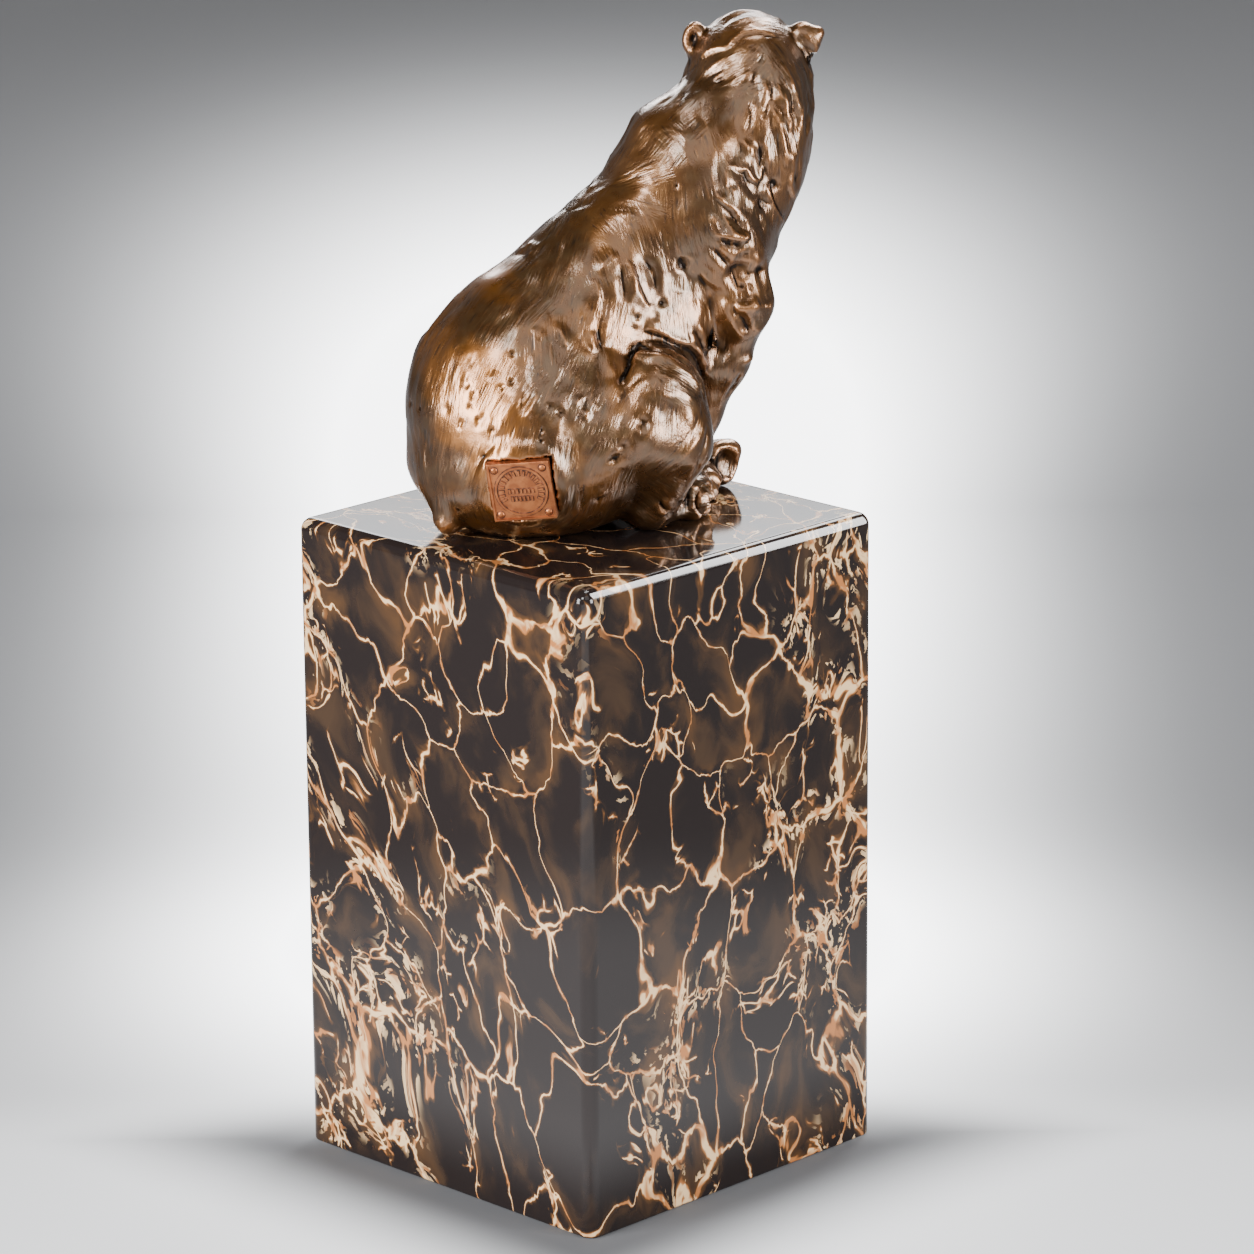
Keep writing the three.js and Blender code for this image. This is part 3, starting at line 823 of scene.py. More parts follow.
KNEE_STROKES = (
    Stroke(
        RIDGE,
        0.7,
        1.2,
        ((631.6, 364), (634.4, 356.5), (649.8, 355), (666.6, 358), (682, 368), (694, 380), (702, 392)),
    ),
    Stroke(FLAP, 0.9, 1.6, ((676.5, 344), (691.9, 349.6), (700.3, 362.3), (705, 378))),
    Stroke(
        RIDGE,
        0.7,
        2.2,
        ((638.6, 379), (647, 389), (661, 393), (679.3, 396), (690.5, 403), (694.7, 415), (690.5, 428)),
    ),
    Stroke(DENT, 1.1, 1.9, ((642.8, 422.6),)),
    Stroke(DENT, 0.9, 4.0, ((668, 416),)),
    Stroke(CREASE, 0.8, 1.2, ((624, 440), (621.7, 452), (612, 463), (609, 474))),
    Stroke(RIDGE, 0.6, 0.9, ((617, 449), (621, 455))),
    Stroke(RIDGE, 0.6, 0.9, ((608, 463), (613, 468))),
    Stroke(RIDGE, 0.5, 0.8, ((606.3, 488.6), (596.5, 497.7))),
    Stroke(RIDGE, 0.5, 0.9, ((705.2, 419.8), (700.3, 435.2), (690.5, 449.3), (679.3, 460.5))),
    Stroke(CREASE, 0.5, 0.9, ((708, 430), (704, 449.3), (694.7, 478))),
    Stroke(RIDGE, 0.7, 0.8, ((663.8, 498.4), (666.6, 505.4), (672.2, 509.6))),
    Stroke(RIDGE, 0.7, 0.8, ((658.2, 506.8), (662.4, 512.4), (669.4, 512.4))),
    Stroke(CREASE, 0.9, 0.9, ((660, 500), (664, 508), (670, 511))),
    Stroke(CREASE, 0.8, 0.8, ((688.4, 494), (687.7, 512))),
    Stroke(CREASE, 0.8, 0.8, ((680, 500), (679, 516))),
)

RUMP_STROKES = (
    Stroke(CREASE, 0.5, 0.8, ((483.8, 378.2), (499, 374.4)), True),
    Stroke(CREASE, 0.7, 0.9, ((533.5, 393.5), (527, 405), (520, 416.5))),
    Stroke(RIDGE, 0.5, 1.0, ((539, 391), (531, 406), (525, 419))),
    Stroke(CREASE, 0.6, 0.9, ((524, 389.7), (517.2, 414.5))),
    Stroke(RIDGE, 0.4, 1.0, ((531.6, 353.3), (533.5, 372.4), (531, 386))),
    Stroke(RIDGE, 0.5, 1.1, ((552.6, 320.8), (562.2, 338), (566, 349.5))),
    Stroke(RIDGE, 0.4, 1.0, ((531.6, 326.5), (541, 340))),
    Stroke(CREASE, 0.4, 0.9, ((485.7, 412.6), (474.2, 429.8))),
    Stroke(CREASE, 0.6, 0.8, ((504.8, 439.4), (497.1, 458.5))),
    Stroke(CREASE, 0.4, 0.9, ((491.4, 445.2), (481.8, 456.6), (474.2, 468))),
    Stroke(RIDGE, 0.5, 1.2, ((562.2, 418.4), (556.5, 431.8), (550.7, 447))),
    Stroke(CREASE, 0.5, 0.8, ((554.5, 410.7), (564, 414.5))),
    Stroke(CREASE, 0.6, 0.9, ((587, 397.3), (583.2, 410.7))),
    Stroke(RIDGE, 0.5, 0.8, ((588, 408.8), (585.2, 422.2))),
    Stroke(CREASE, 0.4, 1.0, ((566, 366), (560, 384), (551, 400))),
    Stroke(RIDGE, 0.35, 1.2, ((466.5, 346), (458, 365), (451, 384))),
    Stroke(CREASE, 0.35, 1.1, ((474, 352), (464, 374), (458, 396))),
    Stroke(RIDGE, 0.35, 1.2, ((512, 396), (505, 418), (494, 436))),
    Stroke(DENT, 0.35, 1.3, ((444.5, 409.8),), True),
    Stroke(RIDGE, 0.5, 1.0, ((515.7, 250), (528, 246), (539, 244.6))),
    Stroke(RIDGE, 0.5, 1.0, ((580, 201.8), (592, 194), (605, 185.7))),
)

STROKES = (
    *HEAD_STROKES,
    *NECK_STROKES,
    *ARM_STROKES,
    *FLANK_STROKES,
    *KNEE_STROKES,
    *RUMP_STROKES,
)

# Small pits left by the casting
PITS = (
    (472, 393.5),
    (468.4, 407),
    (465.6, 385.8),
    (458.9, 422.2),
    (458, 427),
    (500, 387.4),
    (511, 354),
    (476, 419.3),
    (471, 399),
    (509.6, 382),
    (548.8, 407),
    (541, 430.8),
    (540, 441),
    (456, 511),
    (416.8, 409),
    (490.4, 430),
    (481, 456.6),
    (677, 185),
    (732, 184.8),
    (634, 328),
    (598, 500),
)

# Arrows along the hair, drawn over the photograph
HAIR_ARROWS = (
    ((560, 215), (520, 240)),
    ((460, 290), (430, 330)),
    ((412, 360), (402, 420)),
    ((420, 450), (425, 500)),
    ((500, 300), (470, 350)),
    ((466, 346), (451, 384)),
    ((533, 393), (520, 416)),
    ((500, 430), (485, 470)),
    ((560, 420), (548, 460)),
    ((590, 400), (585, 450)),
    ((570, 330), (566, 370)),
    ((600, 260), (590, 300)),
    ((625, 262), (625, 303)),
    ((650, 270), (657, 292)),
    ((590, 202), (663, 163)),
    ((660, 165), (668, 200)),
    ((630, 160), (655, 125)),
    ((700, 130), (706, 175)),
    ((735, 62), (690, 90)),
    ((700, 60), (665, 100)),
    ((735, 30), (790, 25)),
    ((770, 80), (785, 150)),
    ((803, 70), (806, 140)),
    ((745, 100), (745, 150)),
    ((745, 180), (745, 225)),
    ((780, 190), (785, 220)),
    ((690, 270), (700, 320)),
    ((660, 290), (668, 325)),
    ((745, 265), (745, 315)),
    ((768, 265), (768, 320)),
    ((755, 340), (735, 380)),
    ((650, 370), (690, 385)),
    ((700, 430), (665, 480)),
    ((650, 430), (625, 480)),
    ((620, 400), (605, 460)),
    ((570, 470), (565, 510)),
    ((640, 520), (700, 500)),
)

# Hair on the parts that the photograph doesn't show, as a place and a way on the bear
HAIR_HIDDEN = (
    ((50, 0, 60), (0.2, 0, -1)),
    ((40, 0, 40), (0.3, 0, -1)),
    ((45, 10, 90), (0.2, 0.4, -1)),
    ((40, 18, 100), (-0.1, 0.5, -1)),
    ((55, 20, 105), (0.3, 0.8, -0.3)),
    ((54, 8, 118), (0.4, 0.9, -0.1)),
    ((60, 22, 98), (0.2, 0.5, -0.9)),
    ((25, -15, 40), (0.4, 0, -1)),
    ((25, 15, 40), (0.4, 0, -1)),
)


@dataclass
class Bear:
    """The cast bear: clay worked over with a sculptor's strokes and combed hair."""

    camera: PhotoCamera
    plate_seat: Matrix
    node: str = "bronze_bear"
    turn: float = -20.0
    first_voxel: float = 0.9
    last_voxel: float = 0.585
    quick_voxel: float = 1.2
    hair_height: float = 0.03
    lock_height: float = 0.11
    lump_height: float = 0.084
    hair_reach: int = 7
    lock_reach: int = 34
    mane_bottom: float = 60.0
    mane_top: float = 114.0
    mane_front: float = 28.0
    mane_gain: float = 1.6
    edge_height: float = 0.13
    hollow_depth: float = 0.6
    plate_half: float = 7.6
    plate_clearance: float = 0.3
    bed_depth: float = 1.6

    def __post_init__(self) -> None:
        """Works out where the bear's own X, Y and Z stand in the model, in metres."""
        lift = Matrix.Translation((0, 0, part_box(self.node)[0].z))
        turned = Matrix.Rotation(math.radians(self.turn), 4, "Z")
        self.place = lift @ turned @ Matrix.Scale(MM, 4)

    def rough(self) -> bpy.types.Mesh:
        """Copies the solid's mesh, merges its doubles and brings it to the bear's own frame."""
        work = bmesh.new()
        work.from_mesh(frame["nodes"][self.node].data)
        bmesh.ops.remove_doubles(work, verts=work.verts, dist=0.01 * MM)
        work.transform(self.place.inverted())
        mesh = bpy.data.meshes.new("bear_clay")
        work.to_mesh(mesh)
        work.free()
        return mesh

    def even_out(self, mesh: bpy.types.Mesh, voxel: float) -> bpy.types.Mesh:
        """Gives a mesh even quads.

        Args:
            mesh: The mesh, in millimetres.
            voxel: The quads' size.

        Returns:
            The new mesh.
        """
        holder = bpy.data.objects.new("clay", mesh)
        bpy.context.scene.collection.objects.link(holder)
        remesh = holder.modifiers.new("even", "REMESH")
        remesh.mode = "VOXEL"
        remesh.voxel_size = voxel
        graph = bpy.context.evaluated_depsgraph_get()
        evened = bpy.data.meshes.new_from_object(holder.evaluated_get(graph))
        bpy.data.objects.remove(holder)
        bpy.data.meshes.remove(mesh)
        return evened

    def model(self) -> Surface:
        """Models the smooth clay figure."""
        clay = Clay(self.plate_seat)
        skin = Surface(self.even_out(self.rough(), self.first_voxel))
        skin.points = clay.settle(skin.points)
        skin.refresh()
        voxel = self.last_voxel
        skin = Surface(self.even_out(skin.mesh, voxel))
        skin.points = clay.settle(skin.points)
        skin.refresh()
        return skin

    def trace(
        self, tree: BVHTree, pixels: np.ndarray, mirrored: bool
    ) -> tuple[np.ndarray, np.ndarray]:
        """Casts pixels of the photograph onto the clay.

        Args:
            tree: The clay.
            pixels: The pixels, one in each row.
            mirrored: Whether they fall on the bear's other side.

        Returns:
            The points and the outward normals there.
        """
        inverse = self.place.inverted()
        eye = inverse @ (Vector(self.camera.eye) * MM)
        turned = inverse.to_3x3()
        flip = Vector((-1, 1, 1)) if mirrored else Vector((1, 1, 1))
        points, normals = [], []
        for pixel in pixels:
            way = (turned @ self.camera.ray(tuple(pixel))).normalized()
            hit, normal, _, _ = tree.ray_cast(eye * flip, way * flip)
            if hit is not None:
                points.append(hit)
                normals.append(normal)
        return np.array(points).reshape(-1, 3), np.array(normals).reshape(-1, 3)

    def lay(
        self, skin: Surface, height: np.ndarray, stroke: Stroke, path: np.ndarray, mirrored: bool
    ) -> None:
        """Adds one stroke to the heights.

        Args:
            skin: The clay's surface.
            height: The height at each point, which is changed.
            stroke: The stroke.
            path: Its points on the clay, then their normals, side by side.
            mirrored: Whether it lies on the bear's other side.
        """
        line, normals = path[:, :3], path[:, 3:]
        reach = 3.2 * stroke.width + 1.0
        low, high = line.min(0) - reach, line.max(0) + reach
        near = np.flatnonzero(((skin.points > low) & (skin.points < high)).all(1))
        if len(near) == 0:
            return
        points = skin.points[near]
        middle = normals.mean(0)
        middle /= np.linalg.norm(middle)
        if stroke.tool in (Tool.DENT, Tool.FACET):
            away = points - line[0]
            rise = away @ middle
            spread = np.linalg.norm(away - rise[:, None] * middle, axis=1) / stroke.width
            facing = np.clip((skin.normals[near] @ middle) * 2 - 0.2, 0, 1)
            close = facing * (np.abs(rise) < 2 * stroke.width + 2)
            if stroke.tool is Tool.DENT:
                height[near] -= stroke.height * np.exp(-(spread**2)) * close
            else:
                above = np.maximum(rise + stroke.height, 0)
                height[near] -= above * close / (1 + np.exp((spread - 1) * 12))
            return
        best = np.full(len(near), 1e9)
        side = np.zeros(len(near))
        along = np.zeros(len(near))
        facing = np.zeros(len(near))
        walked = 0.0
        for n in range(len(line) - 1):
            step = line[n + 1] - line[n]
            length = np.linalg.norm(step)
            if length > 3.0 or length < 1e-6:
                continue
            share = np.clip((points - line[n]) @ step / length**2, 0, 1)
            away = points - line[n] - share[:, None] * step
            gap = np.linalg.norm(away, axis=1)
            leftwards = np.cross(normals[n], step / length)
            closer = gap < best
            best[closer] = gap[closer]
            side[closer] = (away @ leftwards)[closer]
            along[closer] = walked + (share * length)[closer]
            facing[closer] = (skin.normals[near] @ normals[n])[closer]
            walked += length
        taper = max(min(3.5, walked / 2.4), 0.4)
        ends = np.clip(np.minimum(along, walked - along) / taper, 0, 1)
        ends = ends * (2 - ends)
        fade = ends * np.clip(facing * 2, 0, 1)
        if mirrored:
            side = -side
        width = stroke.width * (0.5 + 0.5 * ends)
        best = np.abs(best + 0.15 * self.wobble[near] * np.minimum(best, 1.0))
        if stroke.tool is Tool.CREASE:
            lips = 0.35 * np.exp(-(((best - 2.2 * width) / (1.4 * width)) ** 2))
            shape = 0.75 * (lips - np.exp(-((best / width) ** 1.5)))
        elif stroke.tool is Tool.RIDGE:
            trough = 0.25 * np.exp(-(((best - 2.4 * width) / (1.3 * width)) ** 2))
            shape = 0.8 * (np.exp(-((best / (1.3 * width)) ** 1.6)) - trough)
        else:
            over = 0.5 * (1 + np.tanh(side / 0.32))
            raised = np.exp(-np.maximum(side, 0) / width)
            under = 0.4 * np.exp(np.minimum(side, 0) / 0.9)
            beside = np.exp(-np.maximum(best - np.abs(side), 0) / 0.8)
            shape = (over * raised - (1 - over) * under) * beside
        fade = fade * (0.9 + 0.14 * self.wobble[near])
        height[near] += stroke.height * shape * fade

    def sculpt(self, skin: Surface) -> np.ndarray:
        """Works out the heights of all hand strokes and pits.

        Args:
            skin: The smooth clay.

        Returns:
            The height at each point in millimetres.
        """
        tree = BVHTree.FromPolygons(
            [Vector(p) for p in skin.points], [tuple(p.vertices) for p in skin.mesh.polygons]
        )
        height = np.zeros(len(skin.points))
        self.wobble = waves(skin.points, 5.0, 31)
        chance = np.random.default_rng(5)
        pits = [Stroke(Tool.DENT, 0.4, chance.uniform(0.45, 0.7), (pit,)) for pit in PITS]
        for stroke in (*STROKES, *pits):
            for mirrored in (False, True):
                if mirrored and stroke.single:
                    continue
                pixels = smooth_path(np.array(stroke.path, float), 2.0)
                points, normals = self.trace(tree, pixels, mirrored)
                if len(points) == 0 or (len(stroke.path) > 1 and len(points) < 3):
                    continue
                self.lay(skin, height, stroke, np.hstack((points, normals)), mirrored)
        self.tree = tree
        return height

    def flow(self, skin: Surface) -> np.ndarray:
        """Works out the way of the hair from the arrows.

        Args:
            skin: The clay.

        Returns:
            The way at each point, along the surface and one long.
        """
        places, ways = [], []
        for arrow in HAIR_ARROWS:
            for mirrored in (False, True):
                points, _ = self.trace(self.tree, np.array(arrow, float), mirrored)
                if len(points) == 2:
                    places.append(points.mean(0))
                    ways.append(points[1] - points[0])
        for place, way in HAIR_HIDDEN:
            places.append(np.array(at(place)))
            ways.append(np.array(at(way)))
        total = np.zeros_like(skin.points)
        for place, way in zip(places, ways):
            gap = ((skin.points - place) ** 2).sum(1) + 9.0
            total += (way / np.linalg.norm(way))[None, :] / gap[:, None] ** 1.6
        swirl = np.stack([waves(skin.points, 22.0, seed) for seed in (11, 12, 13)], 1)
        size = np.linalg.norm(total, axis=1)[:, None]
        total = total / np.maximum(size, 1e-12) + 0.16 * swirl
        total -= (total * skin.normals).sum(1)[:, None] * skin.normals
        return total / np.maximum(np.linalg.norm(total, axis=1), 1e-9)[:, None]

    def comb_frames(self, skin: Surface, flow: np.ndarray) -> None:
        """Keeps two sets of coordinates that run along the hair, for the finish to read.

        Each set is cut into patches about 12 mm wide with one way of the hair in each. The
        share of the second set grows towards the edges of the first set's patches.

        Args:
            skin: The clay.
            flow: The way of the hair at each point.
        """
        across = np.cross(skin.normals, flow)
        certain = []
        for name, seed in (("hair_first", 41), ("hair_second", 42)):
            chance = np.random.default_rng(seed)
            picked = chance.choice(len(skin.points), 220, replace=False)
            nearest = np.full(len(skin.points), 1e9)
            second = nearest.copy()
            owner = np.zeros(len(skin.points), int)
            for n, pick in enumerate(picked):
                gap = np.linalg.norm(skin.points - skin.points[pick], axis=1)
                gap += 9 * np.clip(0.5 - skin.normals @ skin.normals[pick], 0, 1.5)
                closer = gap < nearest
                second = np.where(closer, nearest, np.minimum(second, gap))
                nearest = np.where(closer, gap, nearest)
                owner[closer] = n
            certain.append(np.clip((second - nearest - 1.4) / 2.6, 0, 1) + 1e-4)
            bases = np.stack((flow, across, skin.normals), 1)[picked][owner]
            local = np.einsum("nij,nj->ni", bases, skin.points - skin.points[picked][owner])
            local[:, 0] /= 9.0
            local += chance.uniform(0, 500, (len(picked), 3))[owner]
            attribute = skin.mesh.attributes.new(name, "FLOAT_VECTOR", "POINT")
            attribute.data.foreach_set("vector", (local * MM).astype(np.float32).ravel())
        skin.keep("hair_share", certain[1] / (certain[0] + certain[1]))
        skin.keep("hair_sure", np.clip(2 * (certain[0] + certain[1]), 0, 1))

    def seat_plate(self, skin: Surface) -> None:
        """Presses the plate's flat bed into the rump.

        Args:
            skin: The clay, which is changed.
        """
        half = self.plate_half + self.plate_clearance
        floor = -self.bed_depth
        inverse = np.array(self.plate_seat.inverted())
        local = skin.points @ inverse[:3, :3].T + inverse[:3, 3]
        across, out, up = local[:, 0], -local[:, 1], local[:, 2]
        over = (np.abs(across) < half) & (np.abs(up) < half) & (out > floor) & (out < 4)
        turned = np.array(self.plate_seat.to_3x3())
        local[over, 1] = -floor
        skin.points[over] = local[over] @ turned.T + np.array(self.plate_seat.translation)

    def fit(self, skin: Surface) -> None:
        """Brings the skin to metres, within the box of the solid.

        Args:
            skin: The clay, which is changed.
        """
        place = np.array(self.place)
        points = skin.points @ place[:3, :3].T + place[:3, 3]
        low, high = (np.array(corner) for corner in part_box(self.node))
        middle = np.array(((low[0] + high[0]) / 2, (low[1] + high[1]) / 2, low[2]))
        room = np.stack((low, high)) - middle
        taken = np.stack((points.min(0), points.max(0))) - middle
        shares = np.where(np.abs(taken) > 1e-6, room / taken, 1.0)
        shares = np.minimum(np.where(shares <= 0, 1.0, shares), 1.0).min(0)
        points = middle + (points - middle) * shares
        points[:, 2] = np.maximum(points[:, 2], low[2])
        skin.points = points
        skin.refresh()

    def build(self, finish: bpy.types.Material) -> bpy.types.Object:
        """Builds the bear.

        Args:
            finish: The patina.

        Returns:
            The finished piece.
        """
        skin = self.model()
        log.info("clay with %d points", len(skin.points))
        height = self.sculpt(skin)
        flow = self.flow(skin)
        chance = np.random.default_rng(7)
        hair = skin.comb(chance.normal(size=len(skin.points)), flow, self.hair_reach)
        locks = skin.comb(skin.even(chance.normal(size=len(skin.points)), 4), flow, self.lock_reach)
        lumps = 0.5 * waves(skin.points, 9.0, 21) + waves(skin.points, 19.0, 22)
        furred = np.clip(0.75 + 0.45 * waves(skin.points, 15.0, 23), 0.25, 1.4)
        high = skin.points[:, 2]
        # The mane on the throat and the neck has higher locks
        mane = np.clip((high - self.mane_bottom) / 18, 0, 1)
        mane *= np.clip((self.mane_top - high) / 8, 0, 1)
        mane *= np.clip((-skin.points[:, 1] - self.mane_front) / 12, 0, 1)
        furred = furred * (1 + self.mane_gain * mane)
        height += self.lump_height * lumps
        height += furred * (self.hair_height * hair + self.lock_height * locks)
        self.comb_frames(skin, flow)
        skin.raise_by(height)
        self.seat_plate(skin)
        skin.refresh()
        # What the patina reads: sharp edges, wide hollows, and the rear, which is more ochre
        skin.keep("edge", np.clip(skin.bulge(2) / self.edge_height, -1, 1))
        skin.keep("hollow", np.clip(skin.bulge(14) / self.hollow_depth, -1, 1))
        skin.keep("ochre", np.clip((8 + skin.points[:, 1]) / 40, 0, 1))
        self.fit(skin)
        mesh = skin.mesh
        mesh.name = "bear"
        smooth(mesh)
        return dress(mesh, "bear", "root", "bronze", self.node, finish)


@dataclass
class Plinth:
    """The block of polished marble, with round edges and an eased foot."""

    node: str = "marble_plinth"
    edge_round: float = 3.2
    foot_ease: float = 0.8
    rounding: int = 10

    def build(self, finish: bpy.types.Material) -> bpy.types.Object:
        """Builds the plinth.

        Args:
            finish: The marble.

        Returns:
            The finished piece.
        """
        low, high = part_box(self.node)
        work = bmesh.new()
        bmesh.ops.create_cube(work, size=1.0)
        size = high - low
        stretched = Matrix.Diagonal((size.x, size.y, size.z, 1.0))
        work.transform(Matrix.Translation((low + high) / 2) @ stretched)
        foot = [e for e in work.edges if all(v.co.z < low.z + MM for v in e.verts)]
        rest = [e for e in work.edges if e not in foot]
        settings = {"affect": "EDGES", "profile": 0.5, "material": -1, "offset_type": "OFFSET"}
        bmesh.ops.bevel(
            work, geom=rest, offset=self.edge_round * MM, segments=self.rounding, **settings
        )
        foot = [e for e in work.edges if all(v.co.z < low.z + 0.01 * MM for v in e.verts)]
        bmesh.ops.bevel(work, geom=foot, offset=self.foot_ease * MM, segments=3, **settings)
        bmesh.ops.recalc_face_normals(work, faces=work.faces)
        mesh = bpy.data.meshes.new("plinth")
        work.to_mesh(mesh)
        work.free()
        smooth(mesh)
        piece = dress(mesh, "plinth", "root", "marble", self.node, finish)
        evened = piece.modifiers.new("flat sides", "WEIGHTED_NORMAL")
        evened.mode = "FACE_AREA"
        evened.weight = 100
        return piece


@dataclass
class Plate:
    """The struck plate: a rim, a ring, corner rivets and plain strokes."""

    seat: Matrix
    bear_place: Matrix
    node: str = "copper_plate"
    width: float = 15.2
    thickness: float = 1.8
    rim: float = 0.7
    relief: float = 0.35
    proud: float = 0.5
    ring_radius: float = 6.4
    rivet_radius: float = 0.85
    stroke_width: float = 0.42
    stain_margin: float = 0.22

    def slab(self, work: bmesh.types.BMesh) -> None:
        """Builds the plate with its sunk field.

        Args:
            work: The mesh that it is added to.
        """
        top = self.proud + self.relief
        floor = self.proud - self.thickness
        made = bmesh.ops.create_cube(work, size=1.0)
        for vert in made["verts"]:
            vert.co.x *= self.width
            vert.co.y *= self.width
            vert.co.z = top if vert.co.z > 0 else floor
        edges = list({e for v in made["verts"] for e in v.link_edges})
        bmesh.ops.bevel(
            work, geom=edges, offset=0.22, segments=3, profile=0.5, affect="EDGES", material=-1
        )
        face = max(work.faces, key=lambda f: f.calc_center_median().z + f.calc_area() * 1e-3)
        bmesh.ops.inset_region(work, faces=[face], thickness=self.rim - 0.22, depth=0.0)
        bmesh.ops.inset_region(work, faces=[face], thickness=0.2, depth=-self.relief)

    def bar(self, work: bmesh.types.BMesh, length: float, place: Matrix) -> None:
        """Builds one raised stroke on its stained footprint.

        Args:
            work: The mesh that it is added to.
            length: The stroke's length in millimetres.
            place: Where it lies on the plate.
        """
        margin = self.stain_margin
        for grow, height, slot in ((margin, 0.03, 1), (0.0, self.relief * 0.8, 0)):
            made = bmesh.ops.create_cube(work, size=1.0)
            for vert in made["verts"]:
                vert.co.x *= self.stroke_width + 2 * grow
                vert.co.y *= length + 2 * grow
                vert.co.z = self.proud + (height if vert.co.z > 0 else -0.1)
            bmesh.ops.transform(work, matrix=place, verts=made["verts"])
            for face in {f for v in made["verts"] for f in v.link_faces}:
                face.material_index = slot

    def ring(
        self, work: bmesh.types.BMesh, inner: float, outer: float, height: float, slot: int
    ) -> None:
        """Builds a flat ring that stands up from the field.

        Args:
            work: The mesh that it is added to.
            inner: Its inner radius in millimetres.
            outer: Its outer radius.
            height: How far it stands up.
            slot: Its material's place on the plate.
        """
        corners = ((inner, -0.1), (inner, height), (outer, height), (outer, -0.1))
        verts = [work.verts.new((r, 0, self.proud + z)) for r, z in corners]
        edges = [work.edges.new((verts[n], verts[(n + 1) % 4])) for n in range(4)]
        before = set(work.faces)
        spin_round(work, verts, edges, 72)
        for face in set(work.faces) - before:
            face.material_index = slot

    def rivets(self, work: bmesh.types.BMesh) -> None:
        """Builds the four corner rivets, each on its stained ring.

        Args:
            work: The mesh that they are added to.
        """
        offset = self.width / 2 - self.rim - 1.25 * self.rivet_radius
        for x, y in ((1, 1), (-1, 1), (-1, -1), (1, -1)):
            for radius, height, slot in (
                (self.rivet_radius + 0.2, 0.05, 1),
                (self.rivet_radius, 0.5, 0),
            ):
                made = bmesh.ops.create_uvsphere(work, u_segments=20, v_segments=10, radius=radius)
                flat = Matrix.Diagonal((1, 1, height / radius, 1))
                spot = Matrix.Translation((x * offset, y * offset, self.proud))
                bmesh.ops.transform(work, matrix=spot @ flat, verts=made["verts"])
                for face in {f for v in made["verts"] for f in v.link_faces}:
                    face.material_index = slot

    def build(self, finish: bpy.types.Material, stain: bpy.types.Material) -> bpy.types.Object:
        """Builds the plate.

        Args:
            finish: The copper.
            stain: The dark wax round what is raised.

        Returns:
            The finished piece.
        """
        work = bmesh.new()
        self.slab(work)
        radius = self.ring_radius
        self.ring(work, radius - 0.75, radius + 0.25, 0.03, 1)
        self.ring(work, radius - 0.5, radius, self.relief * 0.8, 0)
        self.rivets(work)
        for n in range(17):
            angle = math.radians(-25 + 230 * n / 16)
            out = radius - 1.6
            spot = Matrix.Translation((out * math.cos(angle), out * math.sin(angle), 0))
            self.bar(work, 1.2, spot @ Matrix.Rotation(angle - math.pi / 2, 4, "Z"))
        for count, y in ((7, 0.1), (6, -1.9)):
            for n in range(count):
                self.bar(work, 1.1, Matrix.Translation(((n - (count - 1) / 2) * 0.95, y, 0)))
        bmesh.ops.recalc_face_normals(work, faces=work.faces)
        work.transform(self.bear_place @ self.seat @ Matrix.Rotation(math.pi / 2, 4, "X"))
        mesh = bpy.data.meshes.new("plate")
        work.to_mesh(mesh)
        work.free()
        return dress(mesh, "plate", "root", "copper", self.node, finish, stain)


